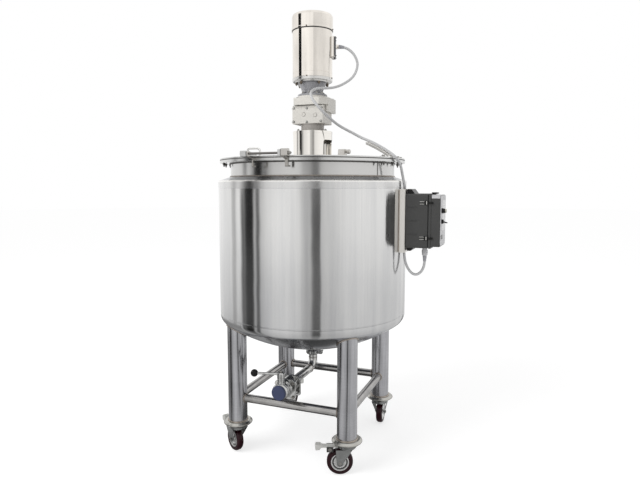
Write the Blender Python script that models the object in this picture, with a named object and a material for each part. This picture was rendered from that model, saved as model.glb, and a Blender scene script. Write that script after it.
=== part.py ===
"""Jacketed mixing tank on casters, with a top drive and a control box at its side.

Metres, +Z up. The origin is on the tank's axis at floor level. The tank's front is -Y, where the
front part of the lid is hinged and the outlet valve points, and the control box is on +X.
"""

import math

import bmesh
import bpy
from mathutils import Matrix, Vector

# Gaps that solids keep to each other: between plain faces, and beside a faceted round wall
GAP = 0.0003
ROUND_GAP = 0.0006
ROUND = 40

# Vessel, jacket, rim and lid
JACKET_R = 0.4495
NECK_R = 0.3912
RIM_R = 0.4402
WALL = 0.003
NECK_BASE_Z = 1.3105
SHOULDER_Z = 1.291
JACKET_TANGENT_Z = 0.660
VESSEL_TANGENT_Z = 0.690
DISH_KNUCKLE_R = 0.045
DISH_CROWN_R = 0.750
DISH_STEPS = 6
RIM_Z = 1.3727
RIM_T = 0.0145
LID_Z = RIM_Z + RIM_T + GAP
LID_T = 0.006
LID_TOP_Z = LID_Z + LID_T
LID_SPLIT_Y = -0.135
LID_GAP = 0.006
SHAFT_HOLE_R = 0.018
OUTLET_R = 0.0195
OUTLET_BORE_R = 0.0170
OUTLET_STUB_Z = 0.4475

# Hinge of the lid's front part, its handle, and the clamp at the rear
PIN_Y = -0.475
PIN_Z = 1.400
PIN_R = 0.0050
PIN_END_X = (-0.127, 0.099)
KNUCKLES_X = ((-0.1215, -0.0950, 0.0120), (0.0475, 0.0590, 0.0150))
LUGS_X = ((-0.0935, -0.0865, 0.009), (0.0600, 0.0900, 0.0175))
STRAP_X1 = 0.0740
NUT_R = 0.0085
NUT_X = 0.106
HANDLE_X = (-0.245, -0.180)
HANDLE_Y = -0.200
HANDLE_H = 0.048
HANDLE_R = 0.005
CLAMP_HALF_W = 0.019
CLAMP_TOP_Z = 1.470
KNOB_R = 0.013
KNOB_X = 0.046

# Drive on the lid
SHAFT_R = 0.0125
LANTERN_R = 0.0942
LANTERN_WALL = 0.005
LANTERN_PLATE_T = 0.012
LANTERN_TOP_Z = 1.5258
WINDOW_Z = (1.4145, 1.484)
WINDOW_HALF_ANGLE = math.radians(35)
GEAR_NECK_R = 0.0572
GEAR_Z = 1.5605
GEAR_X = (-0.083, 0.0765)
GEAR_Y = (-0.055, 0.067)
GEAR_CUT = 0.010
GEAR_COVER_X = (-0.069, 0.0925)
GEAR_COVER_Y = (-0.059, 0.077)
GEAR_COVER_CUT = 0.033
GEAR_COVER_Z = 1.6455
SIDE_COVER_Y = -0.032
SIDE_COVER_Z = 1.614
GEAR_COVER_TOP_Z = 1.6805
PAD_R = 0.0705
ADAPTER_Z = 1.6900
SHIELD_R = 0.083
SHIELD_Z = 1.7525
MOTOR_Z = 1.7570
COWL_Z = 1.9915
TOP_Z = 2.0660
MOTOR_R = 0.0952
COWL_R = 0.0975
TERMINAL_TURN = math.radians(21)
TERMINAL_X = (0.070, 0.1105)
TERMINAL_HALF_W = 0.033
TERMINAL_Z = (1.8700, 1.9630)
GLAND_Z = 1.922
GLAND_END = 0.124

# Frame
LEG_AT = 0.2732
LEG_R = 0.04445
LEG_TOP_Z = 0.72
DISC_Z = 0.1470
DISC_R = 0.0678
DISC_T = 0.017
RAIL_Z = 0.273
RAIL_R = 0.0195
RAIL_SEAT = LEG_R + 0.0013

# Casters: name, the leg's side in X and Y, and the way that the wheel trails, in degrees
CASTERS = (("fl", -1, -1, 147.5), ("fr", 1, -1, 201.5), ("rr", 1, 1, 95.0), ("rl", -1, 1, 75.0))
WHEEL_R = 0.058
WHEEL_W = 0.032
TRAIL = 0.031
SIDE_CLEAR = 0.005
FORK_T = 0.003
FORK_FLARE = 0.016
CROWN_R = 0.042
CROWN_Z = 2 * WHEEL_R + 0.005
RACE_R = 0.030
AXLE_R = 0.005

# Outlet and valve
PIPE_Z = 0.372
BEND_R = 0.045
VALVE_BACK_Y = -0.235
VALVE_CAP_Y = -0.402
CAP_R = 0.0325
STEM_Y = -0.370
STEM_R = 0.0165
STEM_TOP = 0.062
LEVER_Z = 0.4495
LEVER_REST = math.radians(194.0)
LEVER_L = 0.119
LEVER_R = 0.0055
BALL_R = 0.0165
CLAMP_Z = (0.4365, 0.4575)

# Control box
BRACKET_X = 0.4720
BRACKET_HALF_W = 0.0725
BRACKET_Z = (0.971, 1.2545)
BOX_HALF_W = 0.066
BOX_Z0 = 0.9926
BOX_Z1 = 1.2340
BODY_X1 = 0.5720
RIM_X1 = 0.586
COVER_X1 = 0.6255
COVER_Z = (1.0005, 1.2285)
EAR_HALF_W = 0.045
EAR_Z = (0.977, 1.2545)
FASCIA_Z = (1.006, 1.2265)
FASCIA_T = 0.003
KNOBS_Y = -0.045
KNOB_Z = 1.1600
SWITCH_Z = 1.1130
BOX_GLAND_X = 0.5490
BOX_GLAND_Z = 0.9530

# Cable, and the channel that holds it up over the lid
CABLE_R = 0.006
TRAY_START = (0.262, -0.042)
TRAY_TURN = math.radians(-22.0)
TRAY_LINE = ((0.0, 1.4855), (0.045, 1.469), (0.095, 1.447), (0.130, 1.429), (0.158, 1.413))
TRAY_GAP = 0.0014
TRAY_HALF_W = 0.014
TRAY_DEPTH = 0.012
TRAY_WALL = 0.0025
TRAY_S0 = 0.032
TRAY_FOOT = (0.110, 0.1435)

# Agitator
HUB_Z = 0.640
HUB_R = 0.022
COUPLING_Z = (1.434, 1.490)
BLADE_L = 0.150
BLADE_HALF = (0.0035, 0.028)
BLADE_TILT = math.radians(40)

SLOTS = {
    "satin_steel": ((0.62, 0.63, 0.62), 0.32, 1.0),
    "polished_steel": ((0.74, 0.72, 0.69), 0.12, 1.0),
    "gear_paint": ((0.62, 0.61, 0.58), 0.45, 0.0),
    "cast_grey": ((0.27, 0.27, 0.28), 0.45, 0.6),
    "charcoal_plastic": ((0.060, 0.060, 0.058), 0.50, 0.0),
    "light_plastic": ((0.50, 0.50, 0.51), 0.45, 0.0),
    "black_plastic": ((0.010, 0.010, 0.010), 0.35, 0.0),
    "cap_blue": ((0.055, 0.075, 0.170), 0.45, 0.0),
    "cable_grey": ((0.36, 0.36, 0.38), 0.50, 0.0),
    "tyre": ((0.030, 0.006, 0.010), 0.60, 0.0),
    "zinc": ((0.36, 0.37, 0.37), 0.35, 1.0),
}


def clear_scene():
    for obj in list(bpy.data.objects):
        bpy.data.objects.remove(obj, do_unlink=True)


def make_materials():
    made = {}
    for name, (colour, rough, metal) in SLOTS.items():
        mat = bpy.data.materials.new(name)
        mat.use_nodes = True
        shader = mat.node_tree.nodes["Principled BSDF"]
        shader.inputs["Base Color"].default_value = (*colour, 1.0)
        shader.inputs["Roughness"].default_value = rough
        shader.inputs["Metallic"].default_value = metal
        made[name] = mat
    return made


def finish(name, bm, slot, at=(0, 0, 0), turn=0.0, smooth=True):
    """Turn a bmesh into an object whose faces point out."""
    bmesh.ops.recalc_face_normals(bm, faces=bm.faces)
    if bm.calc_volume(signed=True) < 0:
        bmesh.ops.reverse_faces(bm, faces=bm.faces)
    mesh = bpy.data.meshes.new(name)
    bm.to_mesh(mesh)
    bm.free()
    if smooth:
        mesh.shade_smooth()
        mesh.set_sharp_from_angle(angle=math.radians(35))
    obj = bpy.data.objects.new(name, mesh)
    bpy.context.scene.collection.objects.link(obj)
    obj.location = at
    obj.rotation_euler = (0, 0, turn)
    if slot:
        mesh.materials.append(MATERIALS[slot])
    return obj


def turned(name, profile, slot=None, at=(0, 0, 0), steps=ROUND, axis="Z", turn=0.0):
    """Revolve a closed outline of (radius, height) points about an axis."""
    bm = bmesh.new()
    rings = []
    for r, h in profile:
        if r < 1e-6:
            rings.append([bm.verts.new((0, 0, h))])
            continue
        ring = []
        for i in range(steps):
            a = 2 * math.pi * i / steps
            ring.append(bm.verts.new((r * math.cos(a), r * math.sin(a), h)))
        rings.append(ring)
    for k, ring in enumerate(rings):
        other = rings[(k + 1) % len(rings)]
        if len(ring) == 1 and len(other) == 1:
            continue
        for i in range(steps):
            j = (i + 1) % steps
            corners = [ring[i % len(ring)], ring[j % len(ring)], other[j % len(other)], other[i % len(other)]]
            bm.faces.new(list(dict.fromkeys(corners)))
    if axis == "Y":
        bm.transform(Matrix.Rotation(math.pi / 2, 4, "X"))
    elif axis == "X":
        bm.transform(Matrix.Rotation(math.pi / 2, 4, "Y"))
    return finish(name, bm, slot, at, turn)


def disc(name, radius, low, high, slot=None, at=(0, 0, 0), steps=ROUND, axis="Z", turn=0.0):
    """A plain round bar along an axis."""
    return turned(name, [(0, low), (radius, low), (radius, high), (0, high)], slot, at, steps, axis, turn)


def block(name, x, y, z, slot=None, at=(0, 0, 0), bevel=0.0, turn=0.0):
    """A box from its limits, with its upright edges rounded where a bevel is given."""
    bm = bmesh.new()
    bmesh.ops.create_cube(bm, size=1.0)
    size = Vector((x[1] - x[0], y[1] - y[0], z[1] - z[0]))
    centre = Vector((x[0] + x[1], y[0] + y[1], z[0] + z[1])) / 2
    bm.transform(Matrix.Translation(centre) @ Matrix.Diagonal(size).to_4x4())
    if bevel:
        upright = [e for e in bm.edges if abs(e.verts[0].co.z - e.verts[1].co.z) > size.z * 0.5]
        bmesh.ops.bevel(bm, geom=upright, offset=bevel, segments=2, profile=0.5, affect="EDGES")
    return finish(name, bm, slot, at, turn, smooth=False)


def prism(name, outline, low, high, slot=None, at=(0, 0, 0), turn=0.0, plane="XY"):
    """Extrude a flat outline between two limits on the axis that its plane doesn't name."""
    bm = bmesh.new()
    face = bm.faces.new([bm.verts.new((u, v, low)) for u, v in outline])
    made = bmesh.ops.extrude_face_region(bm, geom=[face])["geom"]
    moved = [v for v in made if isinstance(v, bmesh.types.BMVert)]
    bmesh.ops.translate(bm, vec=(0, 0, high - low), verts=moved)
    for v in bm.verts:
        if plane == "XZ":
            v.co = Vector((v.co.x, v.co.z, v.co.y))
        elif plane == "YZ":
            v.co = Vector((v.co.z, v.co.x, v.co.y))
    return finish(name, bm, slot, at, turn, smooth=False)


def swept(name, path, radius, slot=None, steps=12, bore=0.0, at=(0, 0, 0), turn=0.0):
    """A round bar, or a pipe where a bore is given, along a path of points."""
    path = [Vector(p) for p in path]
    bm = bmesh.new()
    along = (path[1] - path[0]).normalized()
    side = along.orthogonal().normalized()
    rings = []
    inner = []
    for k, p in enumerate(path):
        before = (p - path[k - 1]).normalized() if k else along
        after = (path[k + 1] - p).normalized() if k + 1 < len(path) else before
        tangent = (before + after).normalized()
        side = (side - tangent * side.dot(tangent)).normalized()
        up = tangent.cross(side)
        for r, store in ((radius, rings), (bore, inner)):
            if r <= 0:
                continue
            ring = []
            for i in range(steps):
                a = 2 * math.pi * i / steps
                ring.append(bm.verts.new(p + side * (r * math.cos(a)) + up * (r * math.sin(a))))
            store.append(ring)
    skins = [rings, inner] if bore > 0 else [rings]
    for skin in skins:
        for a_ring, b_ring in zip(skin, skin[1:]):
            for i in range(steps):
                j = (i + 1) % steps
                bm.faces.new((a_ring[i], a_ring[j], b_ring[j], b_ring[i]))
    for k in (0, -1):
        if bore > 0:
            for i in range(steps):
                j = (i + 1) % steps
                bm.faces.new((rings[k][i], rings[k][j], inner[k][j], inner[k][i]))
        else:
            bm.faces.new(rings[k])
    return finish(name, bm, slot, at, turn)


def baked(obj, operation, others):
    """Combine an object with others, and keep the result as its plain mesh."""
    for other in others:
        cut = obj.modifiers.new(operation, "BOOLEAN")
        cut.operation = operation
        cut.solver = "EXACT"
        cut.object = other
    bpy.context.view_layer.update()
    graph = bpy.context.evaluated_depsgraph_get()
    mesh = bpy.data.meshes.new_from_object(obj.evaluated_get(graph))
    obj.modifiers.clear()
    obj.data = mesh
    for other in others:
        bpy.data.objects.remove(other, do_unlink=True)
    return obj


def dish(radius, tangent_z, crown, knuckle):
    """Points of a dished end from its straight side down to the axis."""
    depth = crown - math.sqrt((crown - knuckle) ** 2 - (radius - knuckle) ** 2)
    centre_z = tangent_z - depth + crown
    meet = math.asin((radius - knuckle) / (crown - knuckle))
    points = []
    knuckle_steps = 4
    for i in range(knuckle_steps + 1):
        a = (math.pi / 2 - meet) * i / knuckle_steps
        points.append((radius - knuckle + knuckle * math.cos(a), tangent_z - knuckle * math.sin(a)))
    for i in range(1, DISH_STEPS + 1):
        a = meet * (1 - i / DISH_STEPS)
        points.append((crown * math.sin(a), centre_z - crown * math.cos(a)))
    return points


def height_at(points, r):
    """The dish's height at a radius."""
    for (ra, za), (rb, zb) in zip(points, points[1:]):
        if rb <= r <= ra:
            return za + (zb - za) * (ra - r) / (ra - rb)
    return points[-1][1]


def outside_of(points, hole):
    """The dish's points that lie well outside a hole at its middle."""
    return [p for p in points if p[0] > hole + 0.03]


def make_vessel():
    """The inner vessel: neck, shell, dished bottom and the stub of its outlet."""
    outside = dish(NECK_R, VESSEL_TANGENT_Z, DISH_CROWN_R, DISH_KNUCKLE_R)
    inside = dish(NECK_R - WALL, VESSEL_TANGENT_Z, DISH_CROWN_R - WALL, DISH_KNUCKLE_R - WALL)
    rim = RIM_Z + RIM_T
    stub = [
        (OUTLET_R, height_at(outside, OUTLET_R)),
        (OUTLET_R, OUTLET_STUB_Z),
        (OUTLET_BORE_R, OUTLET_STUB_Z),
        (OUTLET_BORE_R, height_at(inside, OUTLET_BORE_R)),
    ]
    out_points = outside_of(outside, OUTLET_R)
    in_points = outside_of(inside, OUTLET_R)
    outline = [(NECK_R, rim)] + out_points + stub + in_points[::-1] + [(NECK_R - WALL, rim)]
    turned("vessel", outline, "satin_steel")


def make_jacket(outside):
    """The outer shell, from its sloping shoulder at the neck to its own dished bottom."""
    inner_r = NECK_R + GAP
    inside = dish(JACKET_R - WALL, JACKET_TANGENT_Z, DISH_CROWN_R - WALL, DISH_KNUCKLE_R - WALL)
    hole = OUTLET_R + ROUND_GAP
    out_points = outside_of(outside, hole) + [(hole, height_at(outside, hole))]
    in_points = outside_of(inside, hole) + [(hole, height_at(inside, hole))]
    fold = 0.004
    top_out = [(inner_r, NECK_BASE_Z), (JACKET_R - fold, SHOULDER_Z + fold / 4), (JACKET_R, SHOULDER_Z - WALL)]
    top_in = [(JACKET_R - WALL, SHOULDER_Z - WALL - fold / 2), (inner_r, NECK_BASE_Z - WALL)]
    turned("jacket", top_out + out_points + in_points[::-1] + top_in, "satin_steel")


def make_rim():
    inner = NECK_R + GAP
    outline = [(inner, RIM_Z), (RIM_R, RIM_Z), (RIM_R, RIM_Z + RIM_T), (inner, RIM_Z + RIM_T)]
    turned("rim_flange", outline, "satin_steel")


def lid_outline(front):
    """One part of the lid's plate: an arc and the straight split."""
    split = LID_SPLIT_Y - LID_GAP / 2 if front else LID_SPLIT_Y + LID_GAP / 2
    a = math.asin(-split / RIM_R)
    start, end = (math.pi + a, 2 * math.pi - a) if front else (-a, math.pi + a)
    steps = 28 if front else 34
    angles = [start + (end - start) * i / steps for i in range(steps + 1)]
    return [(RIM_R * math.cos(t), RIM_R * math.sin(t)) for t in angles]


def make_lid():
    """The fixed rear part of the lid, with the shaft's hole, and the hinged front part with its handle."""
    rear = prism("lid_rear", lid_outline(False), LID_Z, LID_TOP_Z, "satin_steel")
    baked(rear, "DIFFERENCE", [disc("shaft_hole", SHAFT_HOLE_R, LID_Z - 0.1, LID_Z + 0.1, steps=24)])
    at = (0, PIN_Y, PIN_Z)
    outline = [(x, y - PIN_Y) for x, y in lid_outline(True)]
    front = prism("lid_front", outline, LID_Z - PIN_Z, LID_TOP_Z - PIN_Z, "satin_steel", at)
    sink = LID_TOP_Z - PIN_Z - 0.001
    arm_top = sink + 0.006
    parts = []
    for x0, x1, high in KNUCKLES_X:
        knuckle = [(-0.013, -0.012), (0.014, -0.012), (0.014, sink), (0.085, sink), (0.085, arm_top), (0.016, high),
                   (-0.013, high)]
        parts.append(prism("arm", knuckle, x0, x1, at=at, plane="YZ"))
    x0, x1 = HANDLE_X
    corner = 0.008
    top = sink + HANDLE_H
    grip = [(x0, sink), (x0, top - corner), (x0 + corner, top), (x1 - corner, top), (x1, top - corner), (x1, sink)]
    parts.append(swept("handle", [(x, HANDLE_Y - PIN_Y, z) for x, z in grip], HANDLE_R, steps=10, at=at))
    baked(front, "UNION", parts)
    baked(front, "DIFFERENCE", [disc("pin_bore", PIN_R + 0.0004, -0.2, 0.2, at=at, steps=16, axis="X")])


def make_hinge():
    """The hinge's pin on two lugs that hook under the rim, with a nut at its end."""
    at = (0, PIN_Y, PIN_Z)
    pin = disc("hinge_bracket", PIN_R, PIN_END_X[0], PIN_END_X[1], "satin_steel", at, 16, "X")
    parts = [disc("nut", NUT_R, LUGS_X[1][1] - 0.001, NUT_X, at=at, steps=16, axis="X")]
    ear, strap, hook = 0.011, 0.009, 0.018
    seat_z = RIM_Z + RIM_T - 0.0007
    foot_z = (1.3465, 1.3535)
    for x0, x1, high in LUGS_X:
        near_x = min(abs(x0), abs(x1))
        edge = -math.sqrt((RIM_R + ROUND_GAP) ** 2 - near_x ** 2)
        parts.append(block("head", (x0, x1), (PIN_Y - ear, PIN_Y + ear), (PIN_Z - ear, PIN_Z + high)))
        lug = [(PIN_Y - 0.004, PIN_Z - 0.008), (PIN_Y + ear - 0.001, PIN_Z - 0.008), (PIN_Y + ear - 0.001, seat_z),
               (edge, seat_z), (edge, foot_z[1]), (edge + hook, foot_z[1]), (edge + hook, foot_z[0]),
               (edge - strap, foot_z[0]), (edge - strap, 1.376), (PIN_Y - 0.004, PIN_Z - ear - 0.003)]
        parts.append(prism("lug", lug, x0 + 0.0003, min(x1, STRAP_X1) - 0.0003, plane="YZ"))
    baked(pin, "UNION", parts)


def make_clamp():
    """The clamp that holds the rear of the lid to the rim, with its knob."""
    edge = RIM_R + ROUND_GAP
    lid_seat = LID_TOP_Z + GAP
    hook = [(edge, RIM_Z - 0.012), (edge + 0.022, RIM_Z - 0.012), (edge + 0.022, CLAMP_TOP_Z),
            (edge - 0.020, CLAMP_TOP_Z), (edge - 0.034, lid_seat), (edge, lid_seat)]
    body = prism("lid_clamp", hook, -CLAMP_HALF_W, CLAMP_HALF_W, "satin_steel", plane="YZ")
    at = (0, edge + 0.002, CLAMP_TOP_Z - 0.014)
    baked(body, "UNION", [disc("knob", KNOB_R, CLAMP_HALF_W - 0.003, KNOB_X, at=at, steps=16, axis="X")])


def make_lantern():
    """The round housing between lid and gearbox, with a window on each side."""
    base = LID_TOP_Z + GAP
    under = LANTERN_TOP_Z - LANTERN_PLATE_T
    ring = 0.001
    hole = 0.020
    outline = [(hole, under), (hole, LANTERN_TOP_Z), (LANTERN_R + ring, LANTERN_TOP_Z), (LANTERN_R + ring, under),
               (LANTERN_R, under), (LANTERN_R, base), (LANTERN_R - LANTERN_WALL, base),
               (LANTERN_R - LANTERN_WALL, under)]
    body = turned("lantern", outline, "polished_steel")
    half = LANTERN_R * math.sin(WINDOW_HALF_ANGLE)
    low, high = WINDOW_Z
    corner = 0.014
    opening = [(-half, low), (half, low), (half, high - corner), (half - corner / 3.4, high - corner / 3.4),
               (half - corner, high), (corner - half, high), (corner / 3.4 - half, high - corner / 3.4),
               (-half, high - corner)]
    baked(body, "DIFFERENCE", [prism("window", opening, -0.2, 0.2, plane="YZ")])


def make_gearbox():
    """The gearbox on its round neck, with a cover above that also reaches down over its side."""
    neck_z = (LANTERN_TOP_Z + GAP, GEAR_Z - GAP)
    neck = [(0, neck_z[0]), (GEAR_NECK_R, neck_z[0]), (GEAR_NECK_R, neck_z[1]), (0, neck_z[1])]
    turned("gearbox_neck", neck, "cast_grey", steps=32)
    x0, x1 = GEAR_X
    y0, y1 = GEAR_Y
    cut, corner = GEAR_CUT, 0.006
    outline = [(x0 + corner, y0), (x1 - corner, y0), (x1, y0 + corner), (x1, y1 - cut), (x1 - cut, y1),
               (x0 + cut, y1), (x0, y1 - cut), (x0, y0 + corner)]
    prism("gear_housing", outline, GEAR_Z, GEAR_COVER_Z - GAP, "gear_paint")
    cx0, cx1 = GEAR_COVER_X
    cy0, cy1 = GEAR_COVER_Y
    slope = GEAR_COVER_CUT
    top = [(cx0 + corner, cy0), (cx1 - slope, cy0), (cx1, cy0 + slope), (cx1, cy1 - corner), (cx1 - corner, cy1),
           (cx0 + corner, cy1), (cx0, cy1 - corner), (cx0, cy0 + corner)]
    cover = prism("gear_cover", top, GEAR_COVER_Z, GEAR_COVER_TOP_Z, "gear_paint")
    side = block("side_cover", (x1 + GAP, cx1), (SIDE_COVER_Y, cy1 - corner), (SIDE_COVER_Z, GEAR_COVER_Z + 0.001))
    pad = disc("pad", PAD_R, GEAR_COVER_TOP_Z - 0.001, ADAPTER_Z - GAP, steps=32)
    baked(cover, "UNION", [side, pad])


def make_motor():
    """Adapter, motor body, fan cowl, and the terminal box with its cable gland."""
    flange_r, waist_r, bell_r = 0.070, 0.0480, 0.0645
    adapter = [(0, ADAPTER_Z), (flange_r, ADAPTER_Z), (flange_r, 1.6980), (0.067, 1.6995), (waist_r, 1.7005),
               (waist_r, 1.714), (0.0575, 1.732), (bell_r, 1.745), (bell_r, SHIELD_Z - GAP), (0, SHIELD_Z - GAP)]
    turned("motor_adapter", adapter, "cast_grey", steps=32)
    body = [(0, SHIELD_Z), (SHIELD_R, SHIELD_Z), (SHIELD_R, MOTOR_Z), (MOTOR_R - 0.003, MOTOR_Z),
            (MOTOR_R, MOTOR_Z + 0.003), (MOTOR_R, COWL_Z - GAP), (0, COWL_Z - GAP)]
    turned("motor_body", body, "polished_steel")
    cowl = [(0, COWL_Z), (COWL_R, COWL_Z), (COWL_R, TOP_Z - 0.012), (COWL_R - 0.004, TOP_Z - 0.004),
            (COWL_R - 0.013, TOP_Z), (0, TOP_Z)]
    turned("fan_cowl", cowl, "polished_steel")
    width = (-TERMINAL_HALF_W, TERMINAL_HALF_W)
    box = block("terminal_box", TERMINAL_X, width, TERMINAL_Z, "satin_steel", turn=TERMINAL_TURN)
    baked(box, "DIFFERENCE", [disc("keep_out", MOTOR_R + GAP, MOTOR_Z, TOP_Z)])
    gland = disc("gland", 0.011, TERMINAL_X[1] - 0.002, GLAND_END, at=(0, 0, GLAND_Z), steps=12, axis="X",
                 turn=TERMINAL_TURN)
    baked(box, "UNION", [gland])


def make_cable():
    """The one supply cable, from the motor's gland over the lid's edge to the control box."""
    out = Vector((math.cos(TERMINAL_TURN), math.sin(TERMINAL_TURN), 0))
    loop = ((GLAND_END + GAP, GLAND_Z), (0.148, 1.920), (0.175, 1.908), (0.201, 1.880), (0.214, 1.838), (0.196, 1.788))
    way = [out * r + Vector((0, 0, z)) for r, z in loop]
    way += [Vector(p) for p in (
        (0.148, 0.043, 1.752), (0.118, -0.001, 1.729), (0.093, -0.047, 1.718), (0.065, -0.094, 1.712),
        (0.053, -0.137, 1.695), (0.061, -0.168, 1.671), (0.080, -0.184, 1.642), (0.107, -0.180, 1.610),
        (0.135, -0.150, 1.576), (0.164, -0.087, 1.542), (0.224, -0.047, 1.506),
    )]
    way += [tray_point(s, h) for s, h in TRAY_LINE]
    way += [Vector(p) for p in (
        (0.4295, -0.120, 1.3995), (0.4405, -0.1048, 1.3855), (0.4460, -0.0806, 1.3690), (0.4490, -0.0602, 1.3475),
        (0.4515, -0.048, 1.321), (0.456, -0.0425, 1.294), (0.460, -0.036, 1.263), (0.461, -0.033, 1.230),
        (0.461, -0.033, 1.000), (0.462, -0.033, 0.965), (0.467, -0.031, 0.925), (0.484, -0.027, 0.887),
        (0.509, -0.019, 0.865), (0.533, -0.009, 0.876), (0.546, -0.002, 0.901),
    )]
    way += [Vector((BOX_GLAND_X, 0, z)) for z in (0.926, 0.940, BOX_GLAND_Z - GAP)]
    curve = bpy.data.curves.new("cable", "CURVE")
    curve.dimensions = "3D"
    curve.bevel_depth = CABLE_R
    curve.bevel_resolution = 2
    curve.use_fill_caps = True
    path = smooth_path(way, 2)
    spline = curve.splines.new("POLY")
    spline.points.add(len(path) - 1)
    for point, at in zip(spline.points, path):
        point.co = (*at, 1.0)
    curve.materials.append(MATERIALS["cable_grey"])
    bpy.context.scene.collection.objects.link(bpy.data.objects.new("cable", curve))


def smooth_path(points, parts):
    """A curve through all the points, as short straight steps."""
    ends = [points[0] * 2 - points[1]] + points + [points[-1] * 2 - points[-2]]
    path = []
    for k in range(1, len(ends) - 2):
        a, b, c, d = ends[k - 1: k + 3]
        for i in range(parts):
            t = i / parts
            path.append(0.5 * (2 * b + (c - a) * t + (2 * a - 5 * b + 4 * c - d) * t * t
                               + (3 * b - a - 3 * c + d) * t ** 3))
    path.append(points[-1])
    return path


def tray_point(s, h):
    """A point at distance s along the tray's line over the lid, at height h."""
    return Vector((TRAY_START[0] + s * math.cos(TRAY_TURN), TRAY_START[1] + s * math.sin(TRAY_TURN), h))


def make_tray():
    """The channel on the lid, open below, that the cable lies on."""
    base = LID_TOP_Z + GAP
    (s0, h0), (s1, h1) = TRAY_LINE[:2]
    start = (TRAY_S0, h0 + (h1 - h0) * (TRAY_S0 - s0) / (s1 - s0))
    top = [(s, h - CABLE_R - TRAY_GAP) for s, h in (start, *TRAY_LINE[1:])]
    foot_t = 0.003
    low = [(top[-1][0], base), (TRAY_FOOT[0], base), (TRAY_FOOT[0], base + foot_t), (TRAY_FOOT[1], base + foot_t)]
    low += [(s, h - TRAY_DEPTH) for s, h in top[-2::-1]]
    place = ((*TRAY_START, 0), TRAY_TURN, "XZ")
    tray = prism("cable_tray", top + low, -TRAY_HALF_W, TRAY_HALF_W, "satin_steel", *place)
    inside = [(top[0][0] - 0.01, top[0][1] + 0.0015)] + top[1:-1]
    hollow = [(s, h - TRAY_WALL) for s, h in inside] + [(s, h - TRAY_DEPTH - 0.003) for s, h in inside[::-1]]
    half = TRAY_HALF_W - TRAY_WALL
    baked(tray, "DIFFERENCE", [prism("hollow", hollow, -half, half, None, *place)])


def make_control_box():
    """The control box on its channel: housing, cover, front plate, a knob and a lever switch."""
    w, t = BRACKET_HALF_W, WALL
    outer = math.sqrt((JACKET_R + ROUND_GAP) ** 2 - w ** 2)
    inner = math.sqrt((JACKET_R + ROUND_GAP) ** 2 - (w - t) ** 2)
    channel = [(outer, -w), (BRACKET_X, -w), (BRACKET_X, w), (outer, w), (inner, w - t), (BRACKET_X - t, w - t),
               (BRACKET_X - t, -w + t), (inner, -w + t)]
    prism("control_bracket", channel, BRACKET_Z[0], BRACKET_Z[1], "satin_steel")
    x0 = BRACKET_X + GAP
    w = BOX_HALF_W
    body = block("drive_housing", (x0, BODY_X1), (-w, w), (BOX_Z0, BOX_Z1), "charcoal_plastic", bevel=0.003)
    parts = []
    for edge, tip in ((BOX_Z1 - 0.001, EAR_Z[1]), (BOX_Z0 + 0.001, EAR_Z[0])):
        ear = [(x0 + 0.002, edge), (x0 + 0.005, tip), (x0 + 0.021, tip), (x0 + 0.040, edge)]
        parts.append(prism("ear", ear, -EAR_HALF_W, EAR_HALF_W, plane="XZ"))
    gland = [(0, BOX_GLAND_Z), (0.0125, BOX_GLAND_Z), (0.0135, 0.970), (0.0135, 0.980), (0.011, 0.982),
             (0.011, BOX_Z0 + 0.002), (0, BOX_Z0 + 0.002)]
    parts.append(turned("gland", gland, at=(BOX_GLAND_X, 0, 0), steps=16))
    baked(body, "UNION", parts)
    rim_z = (BOX_Z0 - 0.001, BOX_Z1 + 0.001)
    cover = block("drive_cover", (BODY_X1 + GAP, RIM_X1), (-w - 0.001, w + 0.001), rim_z, "charcoal_plastic", bevel=0.003)
    front = block("front", (RIM_X1 - 0.006, COVER_X1), (-w + 0.002, w - 0.002), COVER_Z, bevel=0.005)
    baked(cover, "UNION", [front])
    fascia_x = (COVER_X1 + GAP, COVER_X1 + FASCIA_T)
    block("fascia", fascia_x, (-w + 0.003, w - 0.003), FASCIA_Z, "light_plastic")
    face = COVER_X1 + FASCIA_T + GAP
    knob = [(0, 0), (0.0115, 0), (0.0115, 0.008), (0.009, 0.0095), (0.0085, 0.0215), (0, 0.0215)]
    turned("speed_knob", knob, "black_plastic", (face, KNOBS_Y, KNOB_Z), 20, "X")
    switch_at = (face, KNOBS_Y, SWITCH_Z)
    switch = turned("selector_switch", [(0, 0), (0.010, 0), (0.009, 0.009), (0, 0.009)], "black_plastic", switch_at,
                    16, "X")
    baked(switch, "UNION", [block("lever", (0.005, 0.0263), (-0.003, 0.003), (-0.007, 0.002), at=switch_at)])


def make_legs(jacket_dish):
    """Four round legs on foot discs, cut to the shape of the jacket's bottom, and their rails."""
    form = [(r + ROUND_GAP, z - ROUND_GAP) for r, z in jacket_dish[:-1] if r > 0.15]
    bowl_outline = [(0, 0.9), (JACKET_R + ROUND_GAP, 0.9)] + form + [(0, form[-1][1])]
    leg_outline = [(0, DISC_Z), (DISC_R - 0.006, DISC_Z), (DISC_R, DISC_Z + 0.004), (DISC_R, DISC_Z + 0.009),
                   (DISC_R - 0.010, DISC_Z + DISC_T), (LEG_R, DISC_Z + DISC_T), (LEG_R, LEG_TOP_Z), (0, LEG_TOP_Z)]
    places = []
    for name, side_x, side_y, _ in CASTERS:
        places.append(Vector((side_x * LEG_AT, side_y * LEG_AT, RAIL_Z)))
        leg = turned("leg_" + name, leg_outline, "satin_steel", (side_x * LEG_AT, side_y * LEG_AT, 0), 28)
        baked(leg, "DIFFERENCE", [turned("bowl", bowl_outline)])
    for k, name in enumerate(("front", "right", "rear", "left")):
        rail_between(name, places[k], places[(k + 1) % 4])


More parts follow.
